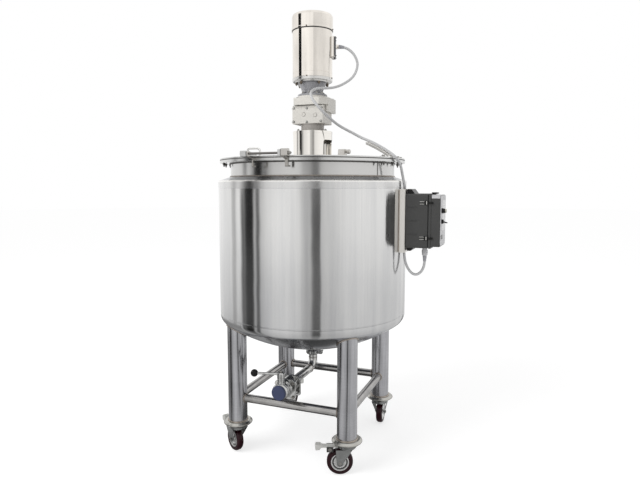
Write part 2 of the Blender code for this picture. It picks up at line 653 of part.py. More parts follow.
def rail_between(name, a, b):
    """A round rail whose ends follow the round legs that it meets."""
    steps = 16
    bm = bmesh.new()
    half = (b - a).length / 2
    rings = []
    for sign in (-1, 1):
        ring = []
        for i in range(steps):
            t = 2 * math.pi * i / steps
            y, z = RAIL_R * math.cos(t), RAIL_R * math.sin(t)
            ring.append(bm.verts.new((sign * (half - math.sqrt(RAIL_SEAT ** 2 - y ** 2)), y, z)))
        tip = bm.verts.new((sign * (half - RAIL_SEAT), 0, 0))
        for i in range(steps):
            bm.faces.new((ring[i], ring[(i + 1) % steps], tip))
        rings.append(ring)
    for i in range(steps):
        j = (i + 1) % steps
        bm.faces.new((rings[0][i], rings[0][j], rings[1][j], rings[1][i]))
    direction = b - a
    finish("rail_" + name, bm, "satin_steel", (a + b) / 2, math.atan2(direction.y, direction.x))


def make_caster(name, x, y, turn):
    """A swivel fork with its axle and brake pedal, and the wheel that runs in it."""
    at = (x, y, 0)
    half = WHEEL_W / 2
    top = DISC_Z - 0.0005
    crown = [(0, CROWN_Z), (CROWN_R - 0.005, CROWN_Z), (CROWN_R, CROWN_Z + 0.005), (CROWN_R, top - 0.010),
             (RACE_R, top - 0.008), (RACE_R, top), (0, top)]
    fork = turned("fork_" + name, crown, "zinc", at, 24, turn=turn)
    parts = []
    cheek_r = 0.0155
    cheek_top = CROWN_Z + 0.004
    cheek = [(-0.022, cheek_top), (TRAIL - cheek_r, WHEEL_R + 0.004)]
    for i in range(5):
        a = math.pi * (i + 0.5) / 5
        cheek.append((TRAIL - cheek_r * math.cos(a), WHEEL_R - cheek_r * math.sin(a)))
    cheek += [(TRAIL + cheek_r, WHEEL_R + 0.004), (0.050, cheek_top)]
    for side in (-1, 1):
        y0, y1 = sorted((side * (half + SIDE_CLEAR), side * (half + SIDE_CLEAR + FORK_T)))
        plate = prism("cheek", cheek, y0, y1, at=at, turn=turn, plane="XZ")
        for v in plate.data.vertices:
            rise = max(0.0, v.co.z - WHEEL_R) / (cheek_top - WHEEL_R)
            v.co.y += side * FORK_FLARE * rise
        parts.append(plate)
    reach = half + SIDE_CLEAR + FORK_T + 0.005
    axle = disc("axle", AXLE_R, -reach, reach, at=at, steps=12, axis="Y", turn=turn)
    for v in axle.data.vertices:
        v.co += Vector((TRAIL, 0, WHEEL_R))
    parts.append(axle)
    arm_z = (0.1240, 0.1300)
    pedal = [(0.030, arm_z[0]), (0.118, arm_z[0]), (0.134, 0.1175), (0.140, 0.1205), (0.138, 0.131), (0.125, 0.136),
             (0.116, arm_z[1]), (0.030, arm_z[1])]
    parts.append(prism("pedal", pedal, -half + 0.001, half - 0.001, at=at, turn=turn, plane="XZ"))
    parts.append(block("brake", (0.066, 0.084), (-0.020, 0.020), (0.110, 0.127), at=at, turn=turn))
    baked(fork, "UNION", parts)
    centre = Vector((x + TRAIL * math.cos(turn), y + TRAIL * math.sin(turn), WHEEL_R))
    bore = AXLE_R + 0.0004
    tread = [(bore, -half), (WHEEL_R - 0.006, -half), (WHEEL_R, -half + 0.008), (WHEEL_R, half - 0.008),
             (WHEEL_R - 0.006, half), (bore, half)]
    turned("wheel_" + name, tread, "tyre", centre, 28, "Y", turn)


def make_outlet():
    """The clamped joint under the tank, the bent pipe and the valve with its cap and lever."""
    inner = OUTLET_R + GAP
    z0, z1 = CLAMP_Z
    clamp = [(inner, z0), (0.030, z0), (0.0345, z0 + 0.0045), (0.0345, z1 - 0.0045), (0.030, z1), (inner, z1)]
    turned("outlet_clamp", clamp, "satin_steel", steps=24)
    corner_z = PIPE_Z + BEND_R
    path = [Vector((0, 0, OUTLET_STUB_Z - GAP))]
    bend_steps = 5
    for i in range(bend_steps + 1):
        a = math.pi / 2 * i / bend_steps
        path.append(Vector((0, -BEND_R * (1 - math.cos(a)), corner_z - BEND_R * math.sin(a))))
    path.append(Vector((0, VALVE_BACK_Y, PIPE_Z)))
    swept("outlet_pipe", path, OUTLET_R, "satin_steel", 14, OUTLET_BORE_R)
    cap_t = 0.014
    back = -VALVE_BACK_Y + GAP
    front = -VALVE_CAP_Y - cap_t - GAP
    body = [(0, back), (0.027, back), (0.027, back + 0.010), (0.040, back + 0.020), (0.040, front - 0.045),
            (0.032, front - 0.040), (0.032, front - 0.028), (0.0375, front - 0.024), (0.0375, front - 0.006),
            (CAP_R, front), (0, front)]
    valve = turned("valve_body", body, "satin_steel", (0, 0, PIPE_Z), 24, "Y")
    parts = [disc("stem", STEM_R, 0.02, STEM_TOP, at=(0, STEM_Y, PIPE_Z), steps=20)]
    flange = [(-0.036, -0.050), (0.042, -0.050), (0.048, -0.044), (0.048, 0.026), (0.034, 0.040), (-0.030, 0.040),
              (-0.042, 0.028), (-0.042, -0.044)]
    for y0 in (back + 0.026, back + 0.078):
        plate = prism("flange", flange, -y0 - 0.012, -y0, at=(0, 0, PIPE_Z), plane="XZ")
        parts.append(plate)
    baked(valve, "UNION", parts)
    cap_y = -VALVE_CAP_Y - cap_t
    cap = [(0, cap_y), (CAP_R, cap_y), (CAP_R, cap_y + 0.010), (CAP_R - 0.0035, cap_y + cap_t), (0, cap_y + cap_t)]
    turned("valve_cap", cap, "cap_blue", (0, 0, PIPE_Z), 28, "Y")
    at = (0, STEM_Y, PIPE_Z + STEM_TOP + GAP)
    hub = [(0, 0), (STEM_R + GAP, 0), (STEM_R + GAP, 0.020), (0.013, 0.024), (0, 0.024)]
    lever = turned("valve_lever", hub, "satin_steel", at, 20, turn=LEVER_REST)
    h = LEVER_Z - at[2]
    arm = swept("arm", [(0.010, 0, h), (LEVER_L, 0, h)], LEVER_R, steps=10, at=at, turn=LEVER_REST)
    ball_steps = 8
    ball = []
    for i in range(ball_steps + 1):
        a = math.pi * i / ball_steps
        ball.append((BALL_R * math.sin(a) if 0 < i < ball_steps else 0.0, -BALL_R * math.cos(a)))
    tip = Vector((LEVER_L * math.cos(LEVER_REST), LEVER_L * math.sin(LEVER_REST), 0)) + Vector((0, STEM_Y, LEVER_Z))
    baked(lever, "UNION", [arm, turned("ball", ball, at=tip, steps=12)])


def make_agitator():
    """The shaft, seen through the lantern's windows, and a plain impeller near the bottom."""
    top = LANTERN_TOP_Z - GAP
    z0, z1 = COUPLING_Z
    outline = [(0, HUB_Z), (HUB_R, HUB_Z), (HUB_R, HUB_Z + 0.060), (SHAFT_R, HUB_Z + 0.062), (SHAFT_R, z0 - 0.002),
               (0.024, z0), (0.024, z1), (SHAFT_R, z1 + 0.002), (SHAFT_R, top), (0, top)]
    shaft = turned("agitator", outline, "satin_steel", steps=20)
    parts = []
    thick, tall = BLADE_HALF
    for i in range(3):
        blade = block("blade", (0.012, BLADE_L), (-thick, thick), (-tall, tall))
        tilt = Matrix.Rotation(BLADE_TILT, 4, "X")
        spin = Matrix.Rotation(2 * math.pi * i / 3, 4, "Z")
        blade.data.transform(Matrix.Translation((0, 0, HUB_Z + 0.030)) @ spin @ tilt)
        parts.append(blade)
    baked(shaft, "UNION", parts)


def build():
    jacket_dish = dish(JACKET_R, JACKET_TANGENT_Z, DISH_CROWN_R, DISH_KNUCKLE_R)
    make_vessel()
    make_jacket(jacket_dish)
    make_rim()
    make_lid()
    make_hinge()
    make_clamp()
    make_lantern()
    make_gearbox()
    make_motor()
    make_cable()
    make_tray()
    make_control_box()
    make_legs(jacket_dish)
    for name, side_x, side_y, trail in CASTERS:
        make_caster(name, side_x * LEG_AT, side_y * LEG_AT, math.radians(trail))
    make_outlet()
    make_agitator()


clear_scene()
MATERIALS = make_materials()
build()
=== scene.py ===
"""A jacketed mixing tank on casters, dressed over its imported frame. Metres, +Z up."""

import math

import bmesh
import bpy
from mathutils import Matrix, Vector


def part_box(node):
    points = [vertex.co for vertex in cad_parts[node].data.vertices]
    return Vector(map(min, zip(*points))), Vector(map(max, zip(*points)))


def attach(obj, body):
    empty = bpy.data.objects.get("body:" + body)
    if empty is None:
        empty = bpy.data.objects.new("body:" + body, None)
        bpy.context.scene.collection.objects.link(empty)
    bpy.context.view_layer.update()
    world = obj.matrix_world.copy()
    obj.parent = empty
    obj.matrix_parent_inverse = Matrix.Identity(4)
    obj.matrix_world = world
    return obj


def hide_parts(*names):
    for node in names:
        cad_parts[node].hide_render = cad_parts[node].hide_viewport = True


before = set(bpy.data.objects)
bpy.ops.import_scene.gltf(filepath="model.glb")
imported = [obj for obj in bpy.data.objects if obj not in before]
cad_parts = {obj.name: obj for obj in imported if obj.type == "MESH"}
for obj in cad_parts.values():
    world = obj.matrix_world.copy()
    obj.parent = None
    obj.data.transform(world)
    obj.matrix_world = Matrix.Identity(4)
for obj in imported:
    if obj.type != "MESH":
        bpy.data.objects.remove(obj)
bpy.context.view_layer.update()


# The room is a plain pale floor in white surroundings, and the camera stands at chest height, a little below
# the lid. Only reflections see a round backdrop of grey and dark flats, and a floor that is darker near the
# tank.

look_down, look_left = math.radians(5.729), math.radians(21.433)
camera = bpy.data.objects.new("camera", bpy.data.cameras.new("camera"))
camera.data.lens = 30.873
camera.data.sensor_width = 36.0
camera.location = (1.0103, -2.4761, 1.2726)
camera.rotation_euler = (math.pi / 2 - look_down, 0, look_left)
bpy.context.scene.collection.objects.link(camera)
bpy.context.scene.camera = camera
bpy.context.scene.view_settings.view_transform = "Standard"


def backdrop(name, shades, levels):
    """A glowing round backdrop. Its shade is set by direction, in degrees, times that of the level."""
    widest_step = 6
    mesh = bpy.data.meshes.new(name)
    points, glow, faces, directions = [], [], [], []
    for (start, first), (end, last) in zip(shades, shades[1:]):
        parts = max(1, int((end - start) / widest_step))
        for k in range(parts):
            directions.append((start + (end - start) * k / parts, first + (last - first) * k / parts))
    directions.append(shades[-1])
    for angle, shade in directions:
        a = math.radians(angle)
        for radius, z, level, amount in levels:
            points.append((radius * math.cos(a), radius * math.sin(a), z))
            glow.append(level * (1 + (shade - 1) * amount))
    rows = len(levels)
    for k in range(len(directions) - 1):
        for corner in range(k * rows, k * rows + rows - 1):
            faces.append((corner, corner + rows, corner + rows + 1, corner + 1))
    mesh.from_pydata(points, [], faces)
    store = mesh.attributes.new("glow", "FLOAT", "POINT")
    store.data.foreach_set("value", glow)
    material = bpy.data.materials.new(name)
    material.use_nodes = True
    nodes = material.node_tree.nodes
    nodes.clear()
    shade_of = nodes.new("ShaderNodeAttribute")
    shade_of.attribute_name = "glow"
    light = nodes.new("ShaderNodeEmission")
    out = nodes.new("ShaderNodeOutputMaterial")
    material.node_tree.links.new(shade_of.outputs["Fac"], light.inputs["Color"])
    material.node_tree.links.new(light.outputs[0], out.inputs["Surface"])
    mesh.materials.append(material)
    made = bpy.data.objects.new(name, mesh)
    bpy.context.scene.collection.objects.link(made)
    made.visible_camera = False
    made.visible_diffuse = False
    made.visible_shadow = False


front_shades = (
    (-155, 1.0), (-153.2, 0.5), (-151.5, 0.14), (-149.5, 0.14), (-148, 0.2), (-146.5, 0.10), (-144, 0.03),
    (-136.0, 0.02), (-134.8, 0.2), (-133.4, 0.62), (-131.6, 0.55), (-130.0, 0.15), (-127.8, 0.13),
    (-125.0, 0.72), (-116, 0.95), (-100, 1.08), (-90, 1.0), (-82, 0.93), (-78, 0.72), (-73, 0.6), (-71, 0.66),
    (-69.5, 0.46), (-68.2, 0.2), (-66, 0.13), (-60.2, 0.12), (-59.2, 0.72), (-45, 0.82), (-32, 0.96),
    (-20, 1.0), (66, 1.0),
)
rear_shades = (
    (70, 0.85), (96, 0.85), (98, 0.6), (110, 0.6), (111, 0.8), (114, 0.3), (118, 0.35), (120, 1.0),
    (180, 1.0),
)
floor_shades = ((-180, 0.4), (-156, 0.4)) + front_shades + (
    (68, 0.3), (77, 0.2), (78, 0.95), (92, 0.9), (98, 0.35), (128, 0.25), (150, 0.35), (180, 0.4),
)
low_shades = ((-180, 1.0), (-172, 1.0), (-169, 0.6), (-164, 0.6), (-161, 1.0)) + front_shades + rear_shades
high_shades = (
    (-180, 1.0), (-173, 0.9), (-169, 0.6), (-166, 0.28), (-163, 0.28), (-160, 0.8), (-150, 0.75),
    (-146.5, 0.12), (-145, 0.02), (-134.5, 0.01), (-133, 0.2), (-127, 0.40), (-122, 0.62), (-118, 0.80),
    (-98, 0.92), (-88, 1.0), (-83.5, 0.92), (-80, 0.58), (-70, 0.46), (-67, 0.32), (-61, 0.34), (-59, 0.62),
    (-54, 0.82), (-32, 0.96), (-20, 1.0), (66, 1.0),
) + rear_shades
upper_shades = (
    (-180, 1.0), (-131, 1.0), (-130, 1.12), (-90, 1.14), (-64, 1.1), (-62, 0.84), (-50, 0.87), (20, 0.9),
    (45, 1.0), (180, 1.0),
)
flat_r, under_floor_z, low_wall_z, high_wall_z, upper_wall_z, flats_top_z = 2.4, -0.004, 0.10, 1.32, 2.15, 3.4
# The low floor glows least under the tank: the tank's painted shadow, seen only in reflections.
backdrop("low_floor", floor_shades, (
    (0.0, under_floor_z, 0.07, 0.0), (0.36, under_floor_z, 0.12, 0.2), (0.46, under_floor_z, 0.62, 0.5),
    (1.3, under_floor_z, 0.74, 1.0), (flat_r, under_floor_z, 0.80, 1.0), (flat_r, low_wall_z, 0.80, 1.0),
))
backdrop("low_wall", low_shades, (
    (flat_r, low_wall_z, 0.80, 0.90), (flat_r, 0.40, 0.84, 0.92), (flat_r, 0.72, 0.94, 0.96),
    (flat_r, 0.88, 1.0, 1.0), (flat_r, high_wall_z, 1.0, 1.0),
))
backdrop("high_wall", high_shades, ((flat_r, high_wall_z, 1.0, 1.0), (flat_r, upper_wall_z, 1.0, 1.0)))
backdrop("upper_wall", upper_shades, ((2.39, upper_wall_z, 1.0, 1.0), (2.39, flats_top_z, 1.0, 1.0)))
backdrop("tall_flat", ((-151, 0.01), (-132, 0.01)), ((2.38, 2.05, 1.0, 1.0), (2.38, flats_top_z, 1.0, 1.0)))

world = bpy.data.worlds.new("studio")
bpy.context.scene.world = world
world.use_nodes = True
world_tree = world.node_tree
ray = world_tree.nodes.new("ShaderNodeLightPath")
softer = world_tree.nodes.new("ShaderNodeMapRange")
softer.inputs["To Min"].default_value = 1.0
softer.inputs["To Max"].default_value = 0.66
world_tree.nodes["Background"].inputs["Color"].default_value = (1.0, 1.0, 1.0, 1.0)
world_tree.links.new(ray.outputs["Is Diffuse Ray"], softer.inputs["Value"])
world_tree.links.new(softer.outputs[0], world_tree.nodes["Background"].inputs["Strength"])

floor_bm = bmesh.new()
bmesh.ops.create_circle(floor_bm, cap_ends=True, radius=30.0, segments=64)
floor_mesh = bpy.data.meshes.new("floor")
floor_bm.to_mesh(floor_mesh)
floor_bm.free()
floor = bpy.data.objects.new("floor", floor_mesh)
bpy.context.scene.collection.objects.link(floor)
floor_paint = bpy.data.materials.new("floor")
floor_paint.use_nodes = True
floor_shader = floor_paint.node_tree.nodes["Principled BSDF"].inputs
floor_shader["Base Color"].default_value = (0.50, 0.50, 0.50, 1.0)
floor_shader["Roughness"].default_value = 0.9
floor_shader["Specular IOR Level"].default_value = 0.0
floor_shader["Emission Color"].default_value = (1.0, 1.0, 1.0, 1.0)
floor_shader["Emission Strength"].default_value = 0.66
floor_mesh.materials.append(floor_paint)
floor.visible_glossy = False

key = bpy.data.objects.new("key", bpy.data.lights.new("key", "AREA"))
key.data.energy = 115.0
key.data.size = 2.6
key.location = (-1.9, -3.1, 3.7)
key.rotation_euler = (Vector((0, 0, 1.1)) - key.location).to_track_quat("-Z", "Y").to_euler()
key.visible_glossy = False
bpy.context.scene.collection.objects.link(key)


# A Finish is the look of a surface, and a Work is a piece that is being made. Every section below uses them,
# and the few functions after them.


class Value:
    """A socket in a finish, on which sums can be written."""

    def __init__(self, finish, socket):
        self.finish = finish
        self.socket = socket

    def sum(self, operation, first, second):
        return self.finish.node("Math", {"operation": operation}, {0: first, 1: second})

    def __add__(self, other):
        return self.sum("ADD", self, other)

    def __radd__(self, other):
        return self.sum("ADD", other, self)

    def __sub__(self, other):
        return self.sum("SUBTRACT", self, other)

    def __rsub__(self, other):
        return self.sum("SUBTRACT", other, self)

    def __mul__(self, other):
        return self.sum("MULTIPLY", self, other)


class Finish:
    """A finish on the Principled shader, patterned by the object's own coordinates."""

    def __init__(self, name, colour, rough, metal=0.0, fixed=None):
        self.material = bpy.data.materials.new(name)
        self.material.use_nodes = True
        self.tree = self.material.node_tree
        self.shader = self.tree.nodes["Principled BSDF"]
        self.colour = colour
        self.rough = rough
        for key_name, value in {"Base Color": colour, "Roughness": rough, "Metallic": metal,
                                **(fixed or {})}.items():
            self.feed(self.shader.inputs[key_name], value)

    def feed(self, socket, value):
        if isinstance(value, Value):
            self.tree.links.new(value.socket, socket)
        elif socket.type == "RGBA":
            socket.default_value = (*value, 1.0)
        else:
            socket.default_value = value

    def node(self, kind, settings=None, values=None, output=0):
        made = self.tree.nodes.new("ShaderNode" + kind)
        for setting, value in (settings or {}).items():
            setattr(made, setting, value)
        for place_name, value in (values or {}).items():
            self.feed(made.inputs[place_name], value)
        return Value(self, made.outputs[output])

    def noise(self, grain, detail=2.0):
        """Cloudy noise about 0.5, with its number of grains to the metre along X, Y and Z."""
        spot = self.node("TexCoord", output="Object")
        spot = self.node("Mapping", values={"Vector": spot, "Scale": grain})
        return self.node("TexNoise", values={"Vector": spot, "Scale": 1.0, "Detail": detail})

    def height(self):
        spot = self.node("TexCoord", output="Object")
        return self.node("SeparateXYZ", values={0: spot}, output="Z")

    def ramp(self, value, low, high):
        """0 below low and 1 above high, with a soft step between."""
        limits = {"Value": value, "From Min": low, "From Max": high}
        return self.node("MapRange", {"interpolation_type": "SMOOTHSTEP"}, limits)

    def tint(self, amount, first, second):
        """The colour goes from first to second, as multiples or as colours, as the amount goes from 0 to 1."""
        ends = [tuple(c * e for c in self.colour) if isinstance(e, float) else e for e in (first, second)]
        settings = {"data_type": "RGBA", "clamp_factor": False}
        mixed = self.node("Mix", settings, {0: amount, 6: ends[0], 7: ends[1]}, output=2)
        self.feed(self.shader.inputs["Base Color"], mixed)

    def roughen(self, value):
        self.feed(self.shader.inputs["Roughness"], value)

    def relief(self, height, strength, depth=0.001):
        bump = self.node("Bump", values={"Height": height, "Strength": strength, "Distance": depth})
        self.feed(self.shader.inputs["Normal"], bump)


def circle(radius, z, steps=96, x=0.0, y=0.0):
    """A level ring of points about an upright axis."""
    angles = [2 * math.pi * i / steps for i in range(steps)]
    return [(x + radius * math.cos(a), y + radius * math.sin(a), z) for a in angles]


def rod(radius, low, high):
    """The outline of a plain round bar between two heights."""
    return [(0, low), (radius, low), (radius, high), (0, high)]


def rounded(outline, steps=4):
    """A closed outline, with each corner that has a third number rounded to that radius."""
    made = []
    for k, corner in enumerate(outline):
        here = Vector(corner[:2])
        if len(corner) < 3:
            made.append(here)
            continue
        to_last = Vector(outline[k - 1][:2]) - here
        to_next = Vector(outline[(k + 1) % len(outline)][:2]) - here
        half = to_last.angle(to_next) / 2
        cut = min(corner[2] / math.tan(half), 0.49 * to_last.length, 0.49 * to_next.length)
        start = here + to_last.normalized() * cut
        end = here + to_next.normalized() * cut
        for i in range(steps + 1):
            t = i / steps
            made.append(start * (1 - t) ** 2 + here * 2 * t * (1 - t) + end * t * t)
    return made


def boxed(u, v, corner, steps=4):
    """The outline of a rectangle between two limits each way, with round corners."""
    return rounded([(u[0], v[0], corner), (u[1], v[0], corner), (u[1], v[1], corner), (u[0], v[1], corner)],
                   steps)


class Work:
    """A piece being made. Shapes are added to it one by one, each with the number of its finish."""

    def __init__(self):
        self.bm = bmesh.new()

    def add(self, part, at=Matrix(), finish=0):
        part.transform(at)
        bmesh.ops.remove_doubles(part, verts=part.verts, dist=0.000001)
        bmesh.ops.recalc_face_normals(part, faces=part.faces)
        for face in part.faces:
            face.material_index = finish
        mesh = bpy.data.meshes.new("part")
        part.to_mesh(mesh)
        part.free()
        self.bm.from_mesh(mesh)
        bpy.data.meshes.remove(mesh)
        return self

    def skin(self, rings, at=Matrix(), finish=0, looped=False, capped=False):
        """Rings of points joined one to the next. A ring of one point makes a tip."""
        part = bmesh.new()
        rings = [[part.verts.new(p) for p in ring] for ring in rings]
        steps = max(len(ring) for ring in rings)
        for low, high in zip(rings, rings[1:] + rings[:1] if looped else rings[1:]):
            if len(low) == 1 and len(high) == 1:
                continue
            for i in range(steps):
                j = (i + 1) % steps
                corners = (low[i % len(low)], low[j % len(low)], high[j % len(high)], high[i % len(high)])
                part.faces.new(list(dict.fromkeys(corners)))
        if capped:
            part.faces.new(rings[0])
            part.faces.new(rings[-1])
        return self.add(part, at, finish)

    def tube(self, path, radius, at=Matrix(), finish=0, steps=24):
        """A round bar along a path. Its radius is one number, or one for each point."""
        path = [Vector(p) for p in path]
        radii = radius if isinstance(radius, list) else [radius] * len(path)
        side = (path[1] - path[0]).orthogonal().normalized()
        rings = []
        for k, point in enumerate(path):
            tangent = (path[min(k + 1, len(path) - 1)] - path[max(k - 1, 0)]).normalized()
            side = (side - tangent * side.dot(tangent)).normalized()
            up = tangent.cross(side)
            angles = [2 * math.pi * i / steps for i in range(steps)]
            rings.append([point + (side * math.cos(a) + up * math.sin(a)) * radii[k] for a in angles])
        return self.skin([[path[0]], *rings, [path[-1]]], at, finish)

    def turn(self, outline, at=Matrix(), finish=0, steps=96):
        """A shape turned about Z from a closed outline of (radius, height) points, as rounded() takes them."""
        rings = [circle(r, h, steps if r > 0.000001 else 1) for r, h in rounded(outline)]
        return self.skin(rings, at, finish, looped=True)

    def plate(self, outline, low, high, at=Matrix(), finish=0, plane="XY", edge=0.0008, warp=None):
        """An outline made thick between two limits, with its sharp edges eased."""
        sharp_from = 0.6
        part = bmesh.new()
        face = part.faces.new([part.verts.new((u, v, low)) for u, v in rounded(outline)])
        made = bmesh.ops.extrude_face_region(part, geom=[face])["geom"]
        raised = [v for v in made if isinstance(v, bmesh.types.BMVert)]
        bmesh.ops.translate(part, vec=(0, 0, high - low), verts=raised)
        if edge:
            sharp = [e for e in part.edges if e.is_manifold and abs(e.calc_face_angle(0.0)) > sharp_from]
            bmesh.ops.bevel(part, geom=sharp, offset=edge, segments=2, profile=0.5, affect="EDGES",
                            clamp_overlap=True)
        for v in part.verts:
            if plane == "XZ":
                v.co = (v.co.x, v.co.z, v.co.y)
            elif plane == "YZ":
                v.co = (v.co.z, v.co.x, v.co.y)
            if warp:
                v.co = warp(v.co)
        return self.add(part, at, finish)

    def block(self, x, y, z, at=Matrix(), finish=0, edge=0.0015):
        outline = [(x[0], y[0]), (x[1], y[0]), (x[1], y[1]), (x[0], y[1])]
        return self.plate(outline, z[0], z[1], at, finish, edge=edge)

    def done(self, name, finishes, body="tank", stands_for=(), slot="satin_steel"):
        """The finished piece: smooth but for its sharp edges, riding on its body."""
        sharp_from = math.radians(32)
        mesh = bpy.data.meshes.new(name)
        self.bm.to_mesh(mesh)
        self.bm.free()
        for finish in finishes:
            mesh.materials.append(finish.material)
        mesh.shade_smooth()
        mesh.set_sharp_from_angle(angle=sharp_from)
        made = bpy.data.objects.new(name, mesh)
        bpy.context.scene.collection.objects.link(made)
        made.modifiers.new("even_normals", "WEIGHTED_NORMAL").keep_sharp = True
        settle(made)
        return fitted(made, body, stands_for)


def settle(made):
    """Keep what an object's modifiers make as its plain mesh."""
    bpy.context.view_layer.update()
    graph = bpy.context.evaluated_depsgraph_get()
    mesh = bpy.data.meshes.new_from_object(made.evaluated_get(graph), preserve_all_data_layers=True,
                                           depsgraph=graph)
    made.modifiers.clear()
    made.data = mesh


def fitted(made, body, stands_for=()):
    """The object, riding on its body in place of the solids that it stands for."""
    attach(made, body)
    if stands_for:
        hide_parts(*stands_for)
    return made


def place(x=0.0, y=0.0, z=0.0, turn=0.0):
    """A place for a shape, turned by an angle in degrees about Z."""
    return Matrix.Translation((x, y, z)) @ Matrix.Rotation(math.radians(turn), 4, "Z")


def smooth_path(points, parts):
    """A smooth curve through all the points."""
    points = [Vector(p) for p in points]
    ends = [points[0] * 2 - points[1]] + points + [points[-1] * 2 - points[-2]]
    path = []
    for k in range(1, len(ends) - 2):
        a, b, c, d = ends[k - 1: k + 3]
        for i in range(parts):
            t = i / parts
            path.append(0.5 * (2 * b + (c - a) * t + (2 * a - 5 * b + 4 * c - d) * t * t
                               + (3 * b - a - 3 * c + d) * t ** 3))
    path.append(points[-1])
    return path


def eased(path, step=0.0025, rounds=32):
    """The same curve in even steps with its kinks eased, and its two ends kept."""
    total = sum((b - a).length for a, b in zip(path, path[1:]))
    count = round(total / step)
    even = [path[0]]
    reach = 0.0
    for a, b in zip(path, path[1:]):
        span = (b - a).length
        while len(even) < count and len(even) * total / count <= reach + span:
            even.append(a.lerp(b, (len(even) * total / count - reach) / span))
        reach += span
    even.append(path[-1])
    for _ in range(rounds):
        even[2:-2] = [(a + b * 2 + c) / 4 for a, b, c in zip(even[1:], even[2:-2], even[3:])]
    return even


TO_FRONT = Matrix.Rotation(math.pi / 2, 4, "X")
TO_RIGHT = Matrix.Rotation(math.pi / 2, 4, "Y")


# The supply cable is one round PVC lead. It leaves the gland on the motor, turns once in front of the
# gearbox, lies on its channel over the lid, and runs down inside the bracket and up into the box. Each end
# has a boot.

cable_r = 0.006
terminal_turn = 21.0
gland_z, gland_end = 1.922, 0.124
tray_start, tray_turn = Vector((0.262, -0.042, 0.0)), -22.0
tray_line = ((0.0, 1.4855), (0.045, 1.469), (0.095, 1.447), (0.130, 1.429), (0.158, 1.413))
box_gland = Vector((0.5490, 0.0, 0.9530))

outward = Matrix.Rotation(math.radians(terminal_turn), 4, "Z")
loop = ((gland_end + 0.0003, gland_z), (0.148, 1.920), (0.175, 1.908), (0.201, 1.880), (0.214, 1.838),
        (0.196, 1.788))
cable_way = [outward @ Vector((r, 0, z)) for r, z in loop]
cable_way += [
    (0.148, 0.043, 1.752), (0.118, -0.001, 1.729), (0.093, -0.047, 1.718), (0.065, -0.094, 1.712),
    (0.053, -0.137, 1.695), (0.061, -0.168, 1.671), (0.080, -0.184, 1.642), (0.107, -0.180, 1.610),
    (0.135, -0.150, 1.576), (0.164, -0.087, 1.542), (0.224, -0.047, 1.506),
]
tray_along = Matrix.Rotation(math.radians(tray_turn), 4, "Z")
cable_way += [tray_start + tray_along @ Vector((s, 0, h)) for s, h in tray_line]
cable_way += [
    (0.4295, -0.120, 1.3995), (0.4405, -0.1048, 1.3855), (0.4460, -0.0806, 1.3690), (0.4490, -0.0602, 1.3475),
    (0.4515, -0.048, 1.321), (0.456, -0.0425, 1.294), (0.460, -0.036, 1.263), (0.461, -0.033, 1.230),
    (0.461, -0.033, 1.000), (0.462, -0.033, 0.965), (0.467, -0.031, 0.925), (0.484, -0.027, 0.887),
    (0.509, -0.019, 0.865), (0.533, -0.009, 0.876), (0.546, -0.002, 0.901),
]
cable_way += [box_gland + Vector((0, 0, rise)) for rise in (-0.027, -0.013, -0.0003)]
cable_path = eased(smooth_path(cable_way, 10))

cable_pvc = Finish("cable_pvc", (0.48, 0.48, 0.485), 0.22)
cable_pvc.tint(cable_pvc.noise((60, 60, 60), 3.0), 0.92, 1.06)
cable_pvc.relief(cable_pvc.noise((700, 700, 700)), 0.15)

cable_curve = bpy.data.curves.new("supply_cable", "CURVE")
cable_curve.dimensions = "3D"
cable_curve.bevel_depth = cable_r
cable_curve.bevel_resolution = 5
cable_curve.use_fill_caps = True
cable_spline = cable_curve.splines.new("POLY")
cable_spline.points.add(len(cable_path) - 1)
for cable_point, cable_place in zip(cable_spline.points, cable_path):
    cable_point.co = (*cable_place, 1.0)
cable_spline.use_smooth = True
cable_curve.materials.append(cable_pvc.material)
cable = bpy.data.objects.new("supply_cable", cable_curve)
bpy.context.scene.collection.objects.link(cable)
fitted(cable, "tank", ["cable"])
cable_length = sum((b - a).length for a, b in zip(cable_path, cable_path[1:]))

boot_grey = Finish("boot_rubber", (0.30, 0.30, 0.32), 0.5)
boot_grey.relief(boot_grey.noise((500, 500, 500)), 0.2)
boot_wide_r, boot_taper, boot_ripple = 0.0094, 0.0028, 0.0004
boots = Work()
for end_path in (cable_path[:14], cable_path[:-15:-1]):
    reach = [0.0]
    for a, b in zip(end_path, end_path[1:]):
        reach.append(reach[-1] + (b - a).length)
    boot_length = min(0.026, reach[-1])
    boot_path = [p for p, s in zip(end_path, reach) if s <= boot_length]
    boot_r = []
    for s in reach[:len(boot_path)]:
        ripple = boot_ripple * math.sin(s / boot_length * 8 * math.pi)
        boot_r.append(boot_wide_r - boot_taper * s / boot_length + ripple)
    boots.tube(boot_path, boot_r, steps=20)
boots.done("cable_boots", [boot_grey], slot="cable_grey")


# The jacket is a round shell of brushed stainless sheet, with a sloping shoulder welded to the vessel's neck
# and a dished bottom. A duller band runs under the shoulder, and a weld joins the bottom to the shell.


def steel(name, colour, rough, grain, drag=0.0, relief=0.03):
    """Stainless steel with brush lines of a fineness along X, Y and Z, which smear its reflections by drag."""
    finish = Finish(name, colour, rough, 1.0, {"Anisotropic": drag, "Anisotropic Rotation": 0.25})
    lines = finish.noise(grain, 3.0)
    clouds = finish.noise((6, 6, 4), 3.0)
    finish.tint(lines * 0.4 + clouds * 0.6, 0.90, 1.06)
    finish.roughen(rough + (lines - 0.5) * 0.10 + (clouds - 0.5) * 0.08)
    finish.relief(lines, relief)
    return finish


